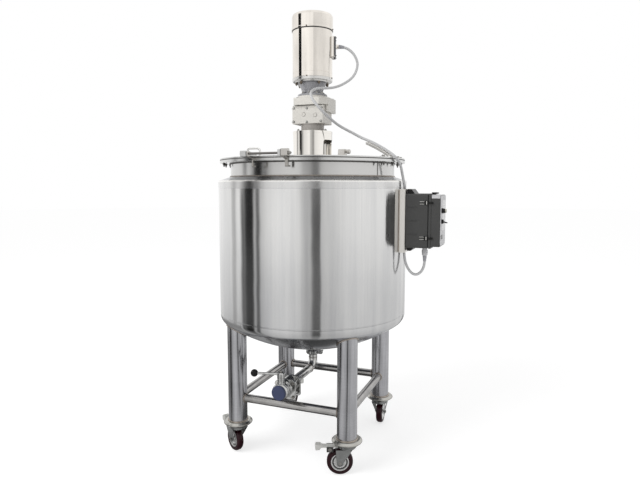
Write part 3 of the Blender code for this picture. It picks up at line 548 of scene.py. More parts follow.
def dished(radius, tangent_z, wall=0.0):
    """A dished end, from its straight side to the axis: a small knuckle and a wide crown."""
    knuckle, crown = 0.045 - wall, 0.750 - wall
    radius -= wall
    centre_z = tangent_z + math.sqrt((crown - knuckle) ** 2 - (radius - knuckle) ** 2)
    meet = math.asin((radius - knuckle) / (crown - knuckle))
    points = []
    for i in range(9):
        a = (math.pi / 2 - meet) * i / 8
        points.append(Vector((radius - knuckle + knuckle * math.cos(a), tangent_z - knuckle * math.sin(a))))
    for i in range(1, 17):
        a = meet * (1 - i / 16)
        points.append(Vector((crown * math.sin(a), centre_z - crown * math.cos(a))))
    return points


def height_at(points, r):
    """The height of a dished end at a radius."""
    for (ra, za), (rb, zb) in zip(points, points[1:]):
        if rb <= r <= ra:
            return za + (zb - za) * (ra - r) / (ra - rb)
    return points[-1][1]


class Growth:
    """A tree of geometry nodes that grows a shape on an object's mesh, from named sizes and a finish."""

    def __init__(self, name, sizes):
        self.tree = bpy.data.node_groups.new(name, "GeometryNodeTree")
        ports = self.tree.interface
        ports.new_socket("Geometry", in_out="INPUT", socket_type="NodeSocketGeometry")
        for size, value in sizes.items():
            ports.new_socket(size, in_out="INPUT", socket_type="NodeSocketFloat").default_value = value
        ports.new_socket("Finish", in_out="INPUT", socket_type="NodeSocketMaterial")
        ports.new_socket("Geometry", in_out="OUTPUT", socket_type="NodeSocketGeometry")
        self.given = self.tree.nodes.new("NodeGroupInput").outputs
        self.out = self.tree.nodes.new("NodeGroupOutput").inputs

    def node(self, kind, values=None, output=0, **settings):
        """A node fed with numbers or with what other nodes give. Several values in a list go to one input."""
        made = self.tree.nodes.new(kind)
        for setting, value in settings.items():
            setattr(made, setting, value)
        for place_name, value in (values or {}).items():
            for one in value if isinstance(value, list) else [value]:
                if isinstance(one, bpy.types.NodeSocket):
                    self.tree.links.new(one, made.inputs[place_name])
                else:
                    made.inputs[place_name].default_value = one
        return made.outputs[output]

    def times(self, first, second):
        return self.node("ShaderNodeMath", {0: first, 1: second}, operation="MULTIPLY")

    def plus(self, first, second):
        return self.node("ShaderNodeMath", {0: first, 1: second}, operation="ADD")

    def done(self, shape):
        real = self.node("GeometryNodeRealizeInstances", {"Geometry": shape})
        painted = self.node("GeometryNodeSetMaterial", {"Geometry": real, "Material": self.given["Finish"]})
        self.tree.links.new(painted, self.out["Geometry"])
        return self.tree


def bead_tree():
    """Geometry nodes that lay a rippled weld bead along an object's edges."""
    bead = Growth("weld_bead", {"Width": 0.005, "Ripple": 0.004})
    width, ripple = bead.given["Width"], bead.given["Ripple"]
    line = bead.node("GeometryNodeMeshToCurve", {"Mesh": bead.given["Geometry"]})
    even = bead.node("GeometryNodeResampleCurve", {"Curve": line, "Length": bead.times(ripple, 0.5)},
                     mode="LENGTH")
    along = bead.node("GeometryNodeSplineParameter", output="Length")
    turns = bead.node("ShaderNodeMath", {0: along, 1: ripple}, operation="DIVIDE")
    wave = bead.node("ShaderNodeMath", {0: bead.times(turns, 2 * math.pi)}, operation="SINE")
    size = bead.plus(bead.times(wave, 0.16), 1.0)
    ring = bead.node("GeometryNodeCurvePrimitiveCircle", {"Resolution": 8, "Radius": bead.times(width, 0.5)})
    swell = bead.node("GeometryNodeSetCurveRadius", {"Curve": even, "Radius": size})
    body = bead.node("GeometryNodeCurveToMesh",
                     {"Curve": swell, "Profile Curve": ring, "Fill Caps": True, "Scale": size})
    return bead.done(bead.node("GeometryNodeSetShadeSmooth", {"Geometry": body}))


def grown(name, mesh, tree, sizes, body):
    """An object whose mesh is grown by a tree of geometry nodes with the given sizes."""
    made = bpy.data.objects.new(name, mesh)
    bpy.context.scene.collection.objects.link(made)
    grow = made.modifiers.new("grow", "NODES")
    grow.node_group = tree
    for item in tree.interface.items_tree:
        if item.in_out == "INPUT" and item.name in sizes:
            grow[item.identifier] = sizes[item.name]
    settle(made)
    return fitted(made, body, ())


def weld(name, loops, width, finish=None, body="tank", closed=True):
    """Weld beads along loops of points."""
    mesh = bpy.data.meshes.new(name)
    points, edges = [], []
    for line in loops:
        first = len(points)
        points += [tuple(p) for p in line]
        edges += [(first + i, first + i + 1) for i in range(len(line) - 1)]
        if closed:
            edges.append((len(points) - 1, first))
    mesh.from_pydata(points, edges, [])
    sizes = {"Width": width, "Ripple": width * 0.8, "Finish": (finish or weld_steel).material}
    return grown(name, mesh, BEAD, sizes, body)


BEAD = bead_tree()
wall = 0.003
jacket_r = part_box("jacket")[1][0]
neck_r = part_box("vessel")[1][0]
neck_base_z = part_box("jacket")[1][2]
shoulder_z = 1.291
band_z = 1.258
jacket_tangent_z, vessel_tangent_z = 0.660, 0.690
outlet_r, outlet_bore_r = 0.0195, 0.0170

weld_steel = steel("weld_steel", (0.48, 0.43, 0.38), 0.36, (300, 300, 300), relief=0.2)
jacket_steel = Finish("jacket_steel", (0.668, 0.665, 0.662), 0.18, 1.0,
                      {"Anisotropic": 0.9, "Anisotropic Rotation": 0.25})
cool_dark, warm_bright = (0.571, 0.573, 0.580), (0.724, 0.720, 0.711)
brush = jacket_steel.noise((3, 3, 900), 3.0)
streaks = jacket_steel.noise((26, 26, 1.1), 4.0)
smears = jacket_steel.noise((5, 5, 3), 4.0)
up = jacket_steel.height()
dull = jacket_steel.ramp(up, band_z - 0.0015, band_z)
seam_line = dull * (1.0 - jacket_steel.ramp(up, band_z + 0.001, band_z + 0.0035))
# Painted shade: the dished bottom is darker than the shell, and darkest low down.
dish_painted_shade = 1.0 - jacket_steel.ramp(up, 0.628, 0.640)
dish_low_painted_shade = 1.0 - jacket_steel.ramp(up, 0.560, 0.610)
# Painted shade: the shoulder's slope is darker.
slope_painted_shade = jacket_steel.ramp(up, shoulder_z + 0.003, shoulder_z + 0.006)
# Painted highlight: a lighter band round the shoulder's outer edge.
highlight_rise = jacket_steel.ramp(up, shoulder_z - 0.007, shoulder_z - 0.004)
painted_edge_highlight = highlight_rise - jacket_steel.ramp(up, shoulder_z + 0.002, shoulder_z + 0.004)
hairs = jacket_steel.noise((120, 120, 2.5), 3.0)
# Painted shade: the shell is lighter towards the top and darker low down.
painted_light_by_height = jacket_steel.ramp(up, 0.70, 1.29)
pattern = brush * 0.2 + streaks * 1.3 + smears * 0.9 + hairs * 0.5 - 1.15
pattern = pattern + painted_light_by_height * 0.6 - seam_line * 0.5 - dish_painted_shade * 0.9
pattern = pattern - dish_low_painted_shade * 1.2 - slope_painted_shade * 1.6 + painted_edge_highlight * 1.2
jacket_steel.tint(pattern, cool_dark, warm_bright)
jacket_steel.roughen(0.15 + (smears - 0.5) * 0.10 + (streaks - 0.5) * 0.06 + dull * 0.13)
jacket_steel.relief(jacket_steel.noise((2.4, 2.4, 3.0)), 0.25, 0.014)

outside = dished(jacket_r, jacket_tangent_z)
inside = dished(jacket_r, jacket_tangent_z, wall)
hole = outlet_r + 0.0006
shell = [(neck_r + 0.0003, neck_base_z), (jacket_r, shoulder_z, 0.005), (jacket_r, shoulder_z - 0.02)]
groove_z = jacket_tangent_z + 0.011
for deep, rise in ((0, 0.0032), (0.0016, 0.0022), (0.0016, -0.0022), (0, -0.0032)):
    shell.append(Vector((jacket_r - deep, groove_z + rise)))
shell += [p for p in outside if p.x > hole] + [Vector((hole, height_at(outside, hole)))]
shell += [Vector((hole, height_at(inside, hole)))] + [p for p in inside[::-1] if p.x > hole]
shell += [Vector((jacket_r - wall, shoulder_z - wall - 0.002)), Vector((neck_r + 0.0003, neck_base_z - wall))]
Work().turn(shell, steps=192).done("jacket_shell", [jacket_steel], stands_for=["jacket"])
weld("jacket_weld", [circle(jacket_r - 0.0017, groove_z, 160)], 0.0028, jacket_steel)


# The vessel is the tank inside the jacket. Its neck stands above the shoulder with one upright weld, its
# bottom is dished, and a short outlet stub is welded into it. A weld closes the jacket's shoulder to the
# neck.

seam_steel = steel("seam_steel", (0.24, 0.235, 0.225), 0.34, (300, 300, 300), relief=0.2)
vessel_steel = steel("vessel_steel", (0.59, 0.585, 0.575), 0.19, (3, 3, 700), 0.75, 0.04)
rim_top_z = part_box("rim_flange")[1][2]
stub_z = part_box("vessel")[0][2]
outside = dished(neck_r, vessel_tangent_z)
inside = dished(neck_r, vessel_tangent_z, wall)
outline = [Vector((neck_r, rim_top_z))] + [p for p in outside if p.x > outlet_r + 0.008]
outline += rounded([(outlet_r, height_at(outside, outlet_r), 0.006), (outlet_r, stub_z),
                    (outlet_bore_r, stub_z), (outlet_bore_r, height_at(inside, outlet_bore_r), 0.004)])
outline += [p for p in inside[::-1] if p.x > outlet_r + 0.008] + [Vector((neck_r - wall, rim_top_z))]
Work().turn(outline, steps=176).done("vessel_shell", [vessel_steel], stands_for=["vessel"])
weld("shoulder_weld", [circle(neck_r + 0.0016, neck_base_z + 0.0016, 144)], 0.0055)
seam_turn, seam_high = math.radians(-21.6), 0.0565
seam_foot = Vector((neck_r * math.cos(seam_turn), neck_r * math.sin(seam_turn), 0))
neck_seam = [seam_foot + Vector((0, 0, neck_base_z + 0.004 + seam_high * i / 24)) for i in range(25)]
weld("neck_weld", [neck_seam], 0.0050, seam_steel, closed=False)


# The rim is a flat ring welded to the neck, with a black seal on it. Bolts hold the lid's rear part to the
# rim. Their nuts show under it, all round the rear half and beside the hinge.


def bolt_tree():
    """Geometry nodes that set a hexagon bolt on each point, along the point's own direction."""
    bolt = Growth("bolts", {"Across": 0.013, "Height": 0.007, "Washer": 0.020, "Stud": 0.002})
    across, height, washer, stud = (bolt.given[size] for size in ("Across", "Height", "Washer", "Stud"))
    washer_t = 0.0014

    def barrel(sides, low_r, high_r, depth, base):
        """A short straight or tapered bar that stands on a height."""
        sizes = {"Vertices": sides, "Radius Bottom": low_r, "Radius Top": high_r, "Depth": depth}
        lift = bolt.node("ShaderNodeCombineXYZ", {"Z": base})
        cone = bolt.node("GeometryNodeMeshCone", sizes)
        return bolt.node("GeometryNodeTransform", {"Geometry": cone, "Translation": lift})

    corner_r = bolt.times(across, 0.577)
    washer_r = bolt.times(washer, 0.5)
    stud_r = bolt.times(across, 0.30)
    side_h = bolt.times(height, 0.82)
    cap_h = bolt.times(height, 0.18)
    shapes = [
        barrel(20, washer_r, washer_r, washer_t, 0.0),
        barrel(6, corner_r, corner_r, side_h, washer_t),
        barrel(6, corner_r, bolt.times(corner_r, 0.84), cap_h, bolt.plus(side_h, washer_t)),
        barrel(10, stud_r, bolt.times(stud_r, 0.9), stud, bolt.plus(height, washer_t)),
    ]
    aim = bolt.node("GeometryNodeInputNamedAttribute", {"Name": "aim"}, data_type="FLOAT_VECTOR")
    point = bolt.node("FunctionNodeAlignRotationToVector", {"Vector": aim}, axis="Z")
    join = bolt.node("GeometryNodeJoinGeometry", {0: shapes})
    copies = {"Points": bolt.given["Geometry"], "Instance": join, "Rotation": point}
    return bolt.done(bolt.node("GeometryNodeInstanceOnPoints", copies))


def bolts(name, places, across, height, washer, stud=0.0005, finish=None, body="tank"):
    """Hexagon bolts at places, each a point on the face and the way that the head points."""
    mesh = bpy.data.meshes.new(name)
    mesh.from_pydata([tuple(point) for point, _ in places], [], [])
    aims = mesh.attributes.new("aim", "FLOAT_VECTOR", "POINT")
    for k, (_, aim) in enumerate(places):
        aims.data[k].vector = aim
    sizes = {"Across": across, "Height": height, "Washer": washer, "Stud": stud,
             "Finish": (finish or bolt_steel).material}
    return grown(name, mesh, BOLT, sizes, body)


def around(radius, z, angles, aim=None):
    """Places on a circle, at angles in degrees. They point outwards where no aim is given."""
    places = []
    for a in map(math.radians, angles):
        x, y = math.cos(a), math.sin(a)
        places.append(((radius * x, radius * y, z), aim or (x, y, 0.0)))
    return places


def aimed(at, point, aim):
    """A place for a bolt on a shape that was itself placed."""
    return at @ Vector(point), at.to_3x3() @ Vector(aim)


BOLT = bolt_tree()
UP, DOWN, LEFT, RIGHT, FRONT, REAR = (0, 0, 1), (0, 0, -1), (-1, 0, 0), (1, 0, 0), (0, -1, 0), (0, 1, 0)
bolt_steel = steel("bolt_steel", (0.36, 0.35, 0.33), 0.28, (200, 200, 200))
dark_steel = steel("dark_steel", (0.13, 0.125, 0.12), 0.32, (200, 200, 200))
rim_steel = steel("rim_steel", (0.66, 0.66, 0.65), 0.22, (4, 4, 500), 0.5, 0.03)
seal_rubber = Finish("seal_rubber", (0.035, 0.032, 0.030), 0.55)
seal_rubber.relief(seal_rubber.noise((400, 400, 400)), 0.2)

rim_low, rim_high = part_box("rim_flange")
rim_r = rim_high[0]
rim_z = rim_low[2]
groove = 0.0035
ring = [(neck_r + 0.0003, rim_z), (rim_r, rim_z, 0.0015), (rim_r, rim_top_z - groove),
        (rim_r - groove, rim_top_z), (neck_r + 0.0003, rim_top_z)]
Work().turn(ring, steps=192).done("rim_ring", [rim_steel], stands_for=["rim_flange"])
seal = [(rim_r - 0.0040, rim_top_z - 0.0034), (rim_r - 0.0004, rim_top_z - 0.0030, 0.0005),
        (rim_r - 0.0004, rim_top_z + 0.0022, 0.0005), (rim_r - 0.0040, rim_top_z + 0.0026)]
Work().turn(seal, steps=192).done("rim_seal", [seal_rubber])
bolt_ring_r = 0.4215
rim_angles = [-21 + 10 * i for i in range(23)]
nut_angles = rim_angles + [-149.0]
bolts("rim_nuts", around(bolt_ring_r, rim_z, nut_angles, DOWN), 0.0110, 0.0070, 0.016, 0.007, dark_steel)
# The weld under the rim is dark steel, partly as painted shade under the rim's edge.
weld("rim_weld", [circle(neck_r + 0.0020, rim_z - 0.0020, 144)], 0.006, dark_steel)


# The lid is a flat plate in two parts. The rear part is bolted to the rim and carries the drive. The front
# part swings up on two arms at its front edge and has a bent round handle.

lid_z, lid_top_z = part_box("lid_rear")[0][2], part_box("lid_rear")[1][2]
split_y = -0.135
lid_gap = 0.006
shaft_hole_r = 0.018
lid_steel = steel("lid_steel", (0.66, 0.66, 0.65), 0.24, (220, 4, 220), 0.3, 0.04)
grip_steel = steel("grip_steel", (0.93, 0.92, 0.90), 0.22, (120, 120, 120), relief=0.01)


def lid_part(front):
    """The outline of one part of the lid: an arc and the straight split."""
    split = split_y - lid_gap / 2 if front else split_y + lid_gap / 2
    a = math.asin(-split / rim_r)
    start, end = (math.pi + a, 2 * math.pi - a) if front else (-a, math.pi + a)
    steps = 90 if front else 120
    angles = [start + (end - start) * i / steps for i in range(steps + 1)]
    return [(rim_r * math.cos(t), rim_r * math.sin(t)) for t in angles]


def cut_away(made, work):
    """Cut a shape out of a piece."""
    tool = bpy.data.objects.new("tool", bpy.data.meshes.new("tool"))
    work.bm.to_mesh(tool.data)
    work.bm.free()
    bpy.context.scene.collection.objects.link(tool)
    cut = made.modifiers.new("cut", "BOOLEAN")
    cut.operation = "DIFFERENCE"
    cut.solver = "EXACT"
    cut.object = tool
    settle(made)
    bpy.data.objects.remove(tool, do_unlink=True)


rear = Work().plate(lid_part(False), lid_z, lid_top_z, edge=0.0014)
rear = rear.done("lid_rear_plate", [lid_steel], stands_for=["lid_rear"])
cut_away(rear, Work().turn(rod(shaft_hole_r, lid_z - 0.05, lid_z + 0.05)))
head_angles = [a for a in rim_angles if abs(a - 89) > 6]
bolts("lid_bolts", around(bolt_ring_r, lid_top_z, head_angles, UP), 0.0100, 0.0065, 0.015)

pin_y, pin_z, pin_r = -0.475, 1.400, 0.0050
knuckles = ((-0.1215, -0.0950, 0.0120), (0.0475, 0.0590, 0.0150))
front = Work().plate(lid_part(True), lid_z, lid_top_z, edge=0.0014)
arm_z = lid_top_z - 0.001
for x0, x1, high in knuckles:
    arm = [(pin_y - 0.013, pin_z - 0.012, 0.003), (pin_y + 0.014, pin_z - 0.012), (pin_y + 0.014, arm_z),
           (pin_y + 0.085, arm_z), (pin_y + 0.085, arm_z + 0.006, 0.003),
           (pin_y + 0.018, pin_z + high, 0.004), (pin_y - 0.013, pin_z + high, 0.004)]
    front.plate(arm, x0, x1, plane="YZ", edge=0.001)
handle_x, handle_y, handle_r = (-0.245, -0.180), -0.200, 0.005
handle_top = arm_z + 0.048
handle_line = [(handle_x[0], arm_z), (handle_x[0], handle_top - 0.012),
               (handle_x[0] + 0.0035, handle_top - 0.0035), (handle_x[0] + 0.012, handle_top),
               (handle_x[1] - 0.012, handle_top), (handle_x[1] - 0.0035, handle_top - 0.0035),
               (handle_x[1], handle_top - 0.012), (handle_x[1], arm_z)]
front.tube([(x, handle_y, z) for x, z in handle_line], handle_r, finish=1)
front.done("lid_front_plate", [lid_steel, grip_steel], "lid_front", ["lid_front"])
handle_rings = [circle(handle_r + 0.0005, lid_top_z + 0.0006, 20, x, handle_y) for x in handle_x]
weld("handle_welds", handle_rings, 0.003, body="lid_front")


# The hinge is a round pin on two lugs that hook round the rim's edge, with a nut at its end. The rear clamp
# is a cast block that grips lid and rim, with a round knob at its side.

hinge_steel = steel("hinge_steel", (0.58, 0.56, 0.53), 0.24, (120, 120, 120))
strap_steel = steel("strap_steel", (0.40, 0.385, 0.36), 0.22, (120, 120, 120))
pin_steel = steel("pin_steel", (0.20, 0.19, 0.18), 0.25, (120, 120, 120))
pin_end = (-0.127, 0.099)
lugs = ((-0.0935, -0.0865, 0.009), (0.0600, 0.0900, 0.0175))
strap_x1 = 0.0740
lug_ear, strap, hook = 0.011, 0.009, 0.018
hook_z = (1.3465, 1.3535)
hinge = Work()
hinge.turn([(0, pin_end[0]), (pin_r, pin_end[0], 0.001), (pin_r, pin_end[1], 0.001), (0, pin_end[1])],
           place(0, pin_y, pin_z) @ TO_RIGHT, finish=1, steps=32)
for x0, x1, high in lugs:
    edge_y = -math.sqrt((rim_r + 0.0006) ** 2 - min(abs(x0), abs(x1)) ** 2)
    head = [(pin_y - lug_ear, pin_z - lug_ear, 0.004), (pin_y + lug_ear, pin_z - lug_ear, 0.002),
            (pin_y + lug_ear, pin_z + high, 0.004), (pin_y - lug_ear, pin_z + high, 0.004)]
    hinge.plate(head, x0, x1, plane="YZ", edge=0.001)
    seat_z = rim_top_z - 0.0007
    bent = [(pin_y - 0.004, pin_z - 0.008), (pin_y + lug_ear - 0.001, pin_z - 0.008),
            (pin_y + lug_ear - 0.001, seat_z), (edge_y, seat_z), (edge_y, hook_z[1]),
            (edge_y + hook, hook_z[1], 0.002), (edge_y + hook, hook_z[0], 0.002),
            (edge_y - strap, hook_z[0], 0.006), (edge_y - strap, 1.376, 0.004),
            (pin_y - 0.004, pin_z - lug_ear - 0.003)]
    hinge.plate(bent, x0 + 0.0003, min(x1, strap_x1) - 0.0003, plane="YZ", finish=2)
hinge.done("hinge_pin_and_lugs", [hinge_steel, pin_steel, strap_steel], stands_for=["hinge_bracket"])
bolts("hinge_nut", [((lugs[1][1] + 0.0005, pin_y, pin_z), RIGHT)], 0.0125, 0.0075, 0.016, 0.004)

clamp_edge = rim_r + 0.0006
clamp_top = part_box("lid_clamp")[1][2]
clamp_half = 0.019
clamp = Work()
grip = [(clamp_edge, rim_z - 0.012), (clamp_edge + 0.022, rim_z - 0.012, 0.003),
        (clamp_edge + 0.022, clamp_top, 0.006), (clamp_edge - 0.020, clamp_top, 0.006),
        (clamp_edge - 0.034, lid_top_z + 0.0003, 0.001), (clamp_edge, lid_top_z + 0.0003)]
clamp.plate(grip, -clamp_half, clamp_half, plane="YZ", edge=0.0016)
knob_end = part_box("lid_clamp")[1][0]
knob_line = [(0, clamp_half - 0.002), (0.008, clamp_half - 0.002), (0.008, clamp_half + 0.006, 0.001),
             (0.013, clamp_half + 0.008, 0.003), (0.013, knob_end - 0.003, 0.004), (0.006, knob_end, 0.002),
             (0, knob_end)]
clamp.turn(knob_line, place(0, clamp_edge + 0.002, clamp_top - 0.014) @ TO_RIGHT, steps=40)
clamp.done("rear_clamp", [hinge_steel], stands_for=["lid_clamp"])


# The lantern is a polished round housing between lid and gearbox, open at both sides, so that the shaft's
# coupling can be reached. A heavier ring closes it at the top, and bolts hold the gearbox's neck to it.

polished = steel("polished_steel", (0.90, 0.87, 0.82), 0.10, (3, 3, 500), 0.6, 0.02)
lantern_low, lantern_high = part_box("lantern")
lantern_r = 0.0942
lantern_top_z = lantern_high[2]
plate_z = lantern_top_z - 0.012
foot_z = lantern_low[2]
shell = [(0.020, plate_z), (0.020, lantern_top_z), (lantern_r + 0.001, lantern_top_z, 0.0012),
         (lantern_r + 0.001, plate_z, 0.0008), (lantern_r, plate_z), (lantern_r, foot_z + 0.004),
         (lantern_r + 0.001, foot_z, 0.001), (lantern_r - 0.005, foot_z), (lantern_r - 0.005, plate_z)]
lantern = Work().turn(shell, steps=128)
lantern = lantern.done("lantern_shell", [polished], stands_for=["lantern"], slot="polished_steel")
window_half = lantern_r * math.sin(math.radians(35))
window_low, window_high = 1.4145, 1.484
window = rounded([(-window_half, window_low, 0.003), (window_half, window_low, 0.003),
                  (window_half, window_high, 0.014), (-window_half, window_high, 0.014)], 8)
cut_away(lantern, Work().plate(window, -0.2, 0.2, plane="YZ", edge=0))
neck_bolt_r = 0.0745
neck_bolts = around(neck_bolt_r, lantern_top_z, [-133 + 60 * i for i in range(6)], UP)
bolts("neck_bolts", neck_bolts, 0.0105, 0.007, 0.017, 0.002)


# The agitator turns in the tank. Its shaft is joined to the gearbox by a clamped coupling that the lantern's
# windows show, and it has three tilted blades near the tank's bottom.

shaft_r = 0.0125
hub_z = 0.640
coupling_z = (1.434, 1.490)
shaft = Work()
outline = [(0, hub_z), (0.022, hub_z, 0.003), (0.022, hub_z + 0.060, 0.003), (shaft_r, hub_z + 0.063),
           (shaft_r, coupling_z[0] - 0.002), (0.024, coupling_z[0], 0.002), (0.024, 1.4605, 0.0008),
           (0.0228, 1.4612), (0.0228, 1.4628), (0.024, 1.4635, 0.0008), (0.024, coupling_z[1], 0.002),
           (shaft_r, coupling_z[1] + 0.002), (shaft_r, 1.5255), (0, 1.5255)]
shaft.turn(outline, steps=64)
blade_z, blade_half, blade_tip, blade_tilt = hub_z + 0.030, 0.028, 0.150, math.radians(40)
blade = [(0.012, -blade_half), (blade_tip, -blade_half, 0.012), (blade_tip, blade_half, 0.012),
         (0.012, blade_half)]
for i in range(3):
    blade_at = place(z=blade_z, turn=120 * i) @ Matrix.Rotation(blade_tilt, 4, "X")
    shaft.plate(blade, -0.0035, 0.0035, blade_at, plane="XZ")
shaft.done("agitator_shaft", [vessel_steel], "agitator", ["agitator"])
screw_r, screw_in = 0.0235, 0.014
screws = []
for z in (coupling_z[0] + screw_in, coupling_z[1] - screw_in):
    screws += around(screw_r, z, (0, 90, 180, 270))
bolts("coupling_screws", screws, 0.008, 0.004, 0.0095, body="agitator")


# The gearbox is a light grey painted casting on a darker round neck. A cover with one slanted corner lies on
# it, reaches down over its right side and carries the round pad of the motor's adapter.


def paint(name, colour, rough, wear=0.10, grain=260):
    """Paint over a casting, slightly uneven."""
    finish = Finish(name, colour, rough)
    cloud = finish.noise((14, 14, 14), 4.0)
    skin = finish.noise((grain, grain, grain))
    finish.tint(cloud * 0.7 + skin * 0.3, 1.0 - wear, 1.0 + wear / 2)
    finish.roughen(rough + (cloud - 0.5) * 0.2)
    finish.relief(skin, 0.12)
    return finish


gear_paint = paint("gear_paint", (0.61, 0.59, 0.55), 0.42)
neck_paint = paint("neck_paint", (0.32, 0.30, 0.28), 0.34)
zinc_bolt = steel("zinc_bolt", (0.52, 0.52, 0.50), 0.34, (200, 200, 200))
joint_and_recess_shade_black = paint("joint_and_recess_shade_black", (0.05, 0.05, 0.05), 0.6)
neck_low, neck_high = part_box("gearbox_neck")
neck_turn_r = neck_high[0]
neck = [(0, neck_low[2]), (neck_turn_r, neck_low[2], 0.001), (neck_turn_r, neck_low[2] + 0.007, 0.002),
        (neck_turn_r - 0.002, neck_low[2] + 0.009, 0.001), (neck_turn_r - 0.002, neck_high[2] - 0.006, 0.002),
        (neck_turn_r, neck_high[2] - 0.004, 0.001), (neck_turn_r, neck_high[2]), (0, neck_high[2])]
neck_work = Work().turn(neck, steps=80)
rib = [(-0.003, 0.0), (0.003, 0.0), (0.003, 0.004, 0.001), (-0.003, 0.004, 0.001)]
for angle in (-38, 52, 142, 232):
    rib_at = place(turn=angle - 90) @ Matrix.Translation((0, neck_turn_r - 0.0035, 0))
    neck_work.plate(rib, neck_low[2] + 0.009, neck_high[2] - 0.005, rib_at, edge=0)
neck_work.done("gearbox_neck_casting", [neck_paint], stands_for=["gearbox_neck"], slot="cast_grey")

(gear_x0, gear_y0, gear_z0), (gear_x1, gear_y1, gear_z1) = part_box("gear_housing")
casting = Work()
outline = rounded([(gear_x0, gear_y0, 0.007), (gear_x1, gear_y0, 0.007), (gear_x1, gear_y1, 0.014),
                   (gear_x0, gear_y1, 0.014)], 6)
casting.plate(outline, gear_z0, gear_z1 - 0.0012, edge=0.0022)
joint_inset = 0.975
inner = [(joint_inset * x, joint_inset * y) for x, y in outline]
casting.plate(inner, gear_z1 - 0.0016, gear_z1, finish=1, edge=0)
plugs = ((-0.0234, 1.6032), (0.035, 1.5986))
for x, z in plugs:
    casting.turn([(0, -0.001), (0.0085, -0.001), (0.0085, 0.0022, 0.0008), (0.006, 0.0024), (0.0052, 0.0012),
                  (0, 0.0012)], place(x, gear_y0 - 0.0002, z) @ TO_FRONT, steps=32)
front_bolts = ((-0.0727, 1.6334), (-0.007, 1.6319), (0.0666, 1.6319), (-0.0746, 1.571), (-0.0072, 1.5682),
               (0.0636, 1.5698))
bolt_rows = (1.571, 1.633)
gear_bolts = [((x, gear_y0 - 0.0001, z), FRONT) for x, z in front_bolts]
gear_bolts += [((x, gear_y1 + 0.0001, z), REAR) for x in (-0.06, 0.0, 0.06) for z in bolt_rows]
gear_bolts += [((gear_x0 - 0.0001, y, z), LEFT) for y in (-0.042, 0.045) for z in bolt_rows]
# The dark rings round the front bolts and plugs are painted shade in their recesses.
for spots, shade_ring_r in ((front_bolts, 0.0059), (plugs, 0.0096)):
    for x, z in spots:
        casting.turn(rod(shade_ring_r, -0.001, 0.0003), place(x, gear_y0, z) @ TO_FRONT, finish=1, steps=32)
casting.done("gear_casting", [gear_paint, joint_and_recess_shade_black], stands_for=["gear_housing"], slot="gear_paint")
bolts("gear_bolts", gear_bolts, 0.0075, 0.0035, 0.0100, finish=zinc_bolt)

(cover_x0, cover_y0, _), (cover_x1, cover_y1, cover_top_z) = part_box("gear_cover")
cover_low, cover_high = 1.6455, 1.6805
slope = 0.033
cover = Work()
outline = rounded([(cover_x0, cover_y0, 0.008), (cover_x1 - slope, cover_y0, 0.006),
                   (cover_x1, cover_y0 + slope, 0.006), (cover_x1, cover_y1, 0.010),
                   (cover_x0, cover_y1, 0.010)], 5)
cover.plate(outline, cover_low + 0.0006, cover_high, edge=0.0025)
cover.block((gear_x1 + 0.0006, cover_x1), (-0.032, cover_y1 - 0.006), (1.614, cover_low + 0.003), edge=0.002)
cover.turn([(0, cover_high - 0.002), (0.0705, cover_high - 0.002), (0.0705, cover_top_z, 0.0015),
            (0, cover_top_z)], steps=80)
cover.done("gear_cover_casting", [gear_paint], stands_for=["gear_cover"], slot="gear_paint")
cover_spots = ((-0.058, -0.048), (-0.058, 0.064), (0.080, 0.064), (0.076, -0.024))
cover_bolts = [((x, y, cover_high), UP) for x, y in cover_spots]
bolts("cover_bolts", cover_bolts, 0.0075, 0.004, 0.0105, finish=zinc_bolt)


# The motor stands on a grey cast adapter. Its body and its fan cowl are mirror bright shells of a warm shade,
# with a seam ring between them whose black is painted shade, and a terminal box with a gland sits on the
# right.

cast_paint = paint("cast_paint", (0.29, 0.29, 0.305), 0.20, 0.2)
foot, shield_z = 1.690, 1.7525
bell = [(0, foot), (0.070, foot, 0.001), (0.070, foot + 0.008, 0.001), (0.067, foot + 0.0095),
        (0.048, foot + 0.0105, 0.002), (0.048, 1.714, 0.004), (0.0575, 1.732, 0.006), (0.0645, 1.745, 0.004),
        (0.0645, shield_z - 0.0004), (0, shield_z - 0.0004)]
bell_work = Work().turn(bell, steps=96)
web = [(0.040, foot + 0.009), (0.0655, foot + 0.009, 0.002), (0.0500, 1.712, 0.004), (0.0600, 1.740),
       (0.040, 1.740)]
for angle in (10, 70, 130, 190, 250, 310):
    bell_work.plate(web, -0.003, 0.003, place(turn=angle), plane="XZ", edge=0.0008)
bell_work.done("adapter_casting", [cast_paint], stands_for=["motor_adapter"], slot="cast_grey")
adapter_bolts = around(0.0600, foot + 0.0092, [49, -117, -178, -84, -49, -20, 100], UP)
bolts("adapter_bolts", adapter_bolts, 0.0095, 0.006, 0.0, 0.002)

warm_steel = steel("warm_polished_steel", (0.84, 0.795, 0.735), 0.10, (3, 3, 420), 0.5, 0.015)
warm_streaks = warm_steel.noise((45, 45, 2.5), 4.0)
warm_clouds = warm_steel.noise((16, 16, 9), 4.0)
warm_steel.tint(warm_streaks * 1.3 + warm_clouds * 1.3 - 0.8, 0.80, 1.10)
warm_steel.roughen(0.10 + (warm_clouds - 0.5) * 0.10)
band_steel = steel("band_steel", (0.70, 0.69, 0.67), 0.22, (60, 60, 60))
nut_steel = steel("nut_steel", (0.16, 0.13, 0.10), 0.30, (200, 200, 200))
seam_z = 1.9912
end_shield = [(0, shield_z), (0.083, shield_z, 0.001), (0.083, shield_z + 0.0045),
              (0.0922, shield_z + 0.0045, 0.001), (0.0952, shield_z + 0.0075, 0.001),
              (0.0952, shield_z + 0.020, 0.0004), (0.0940, shield_z + 0.0206), (0, shield_z + 0.0206)]
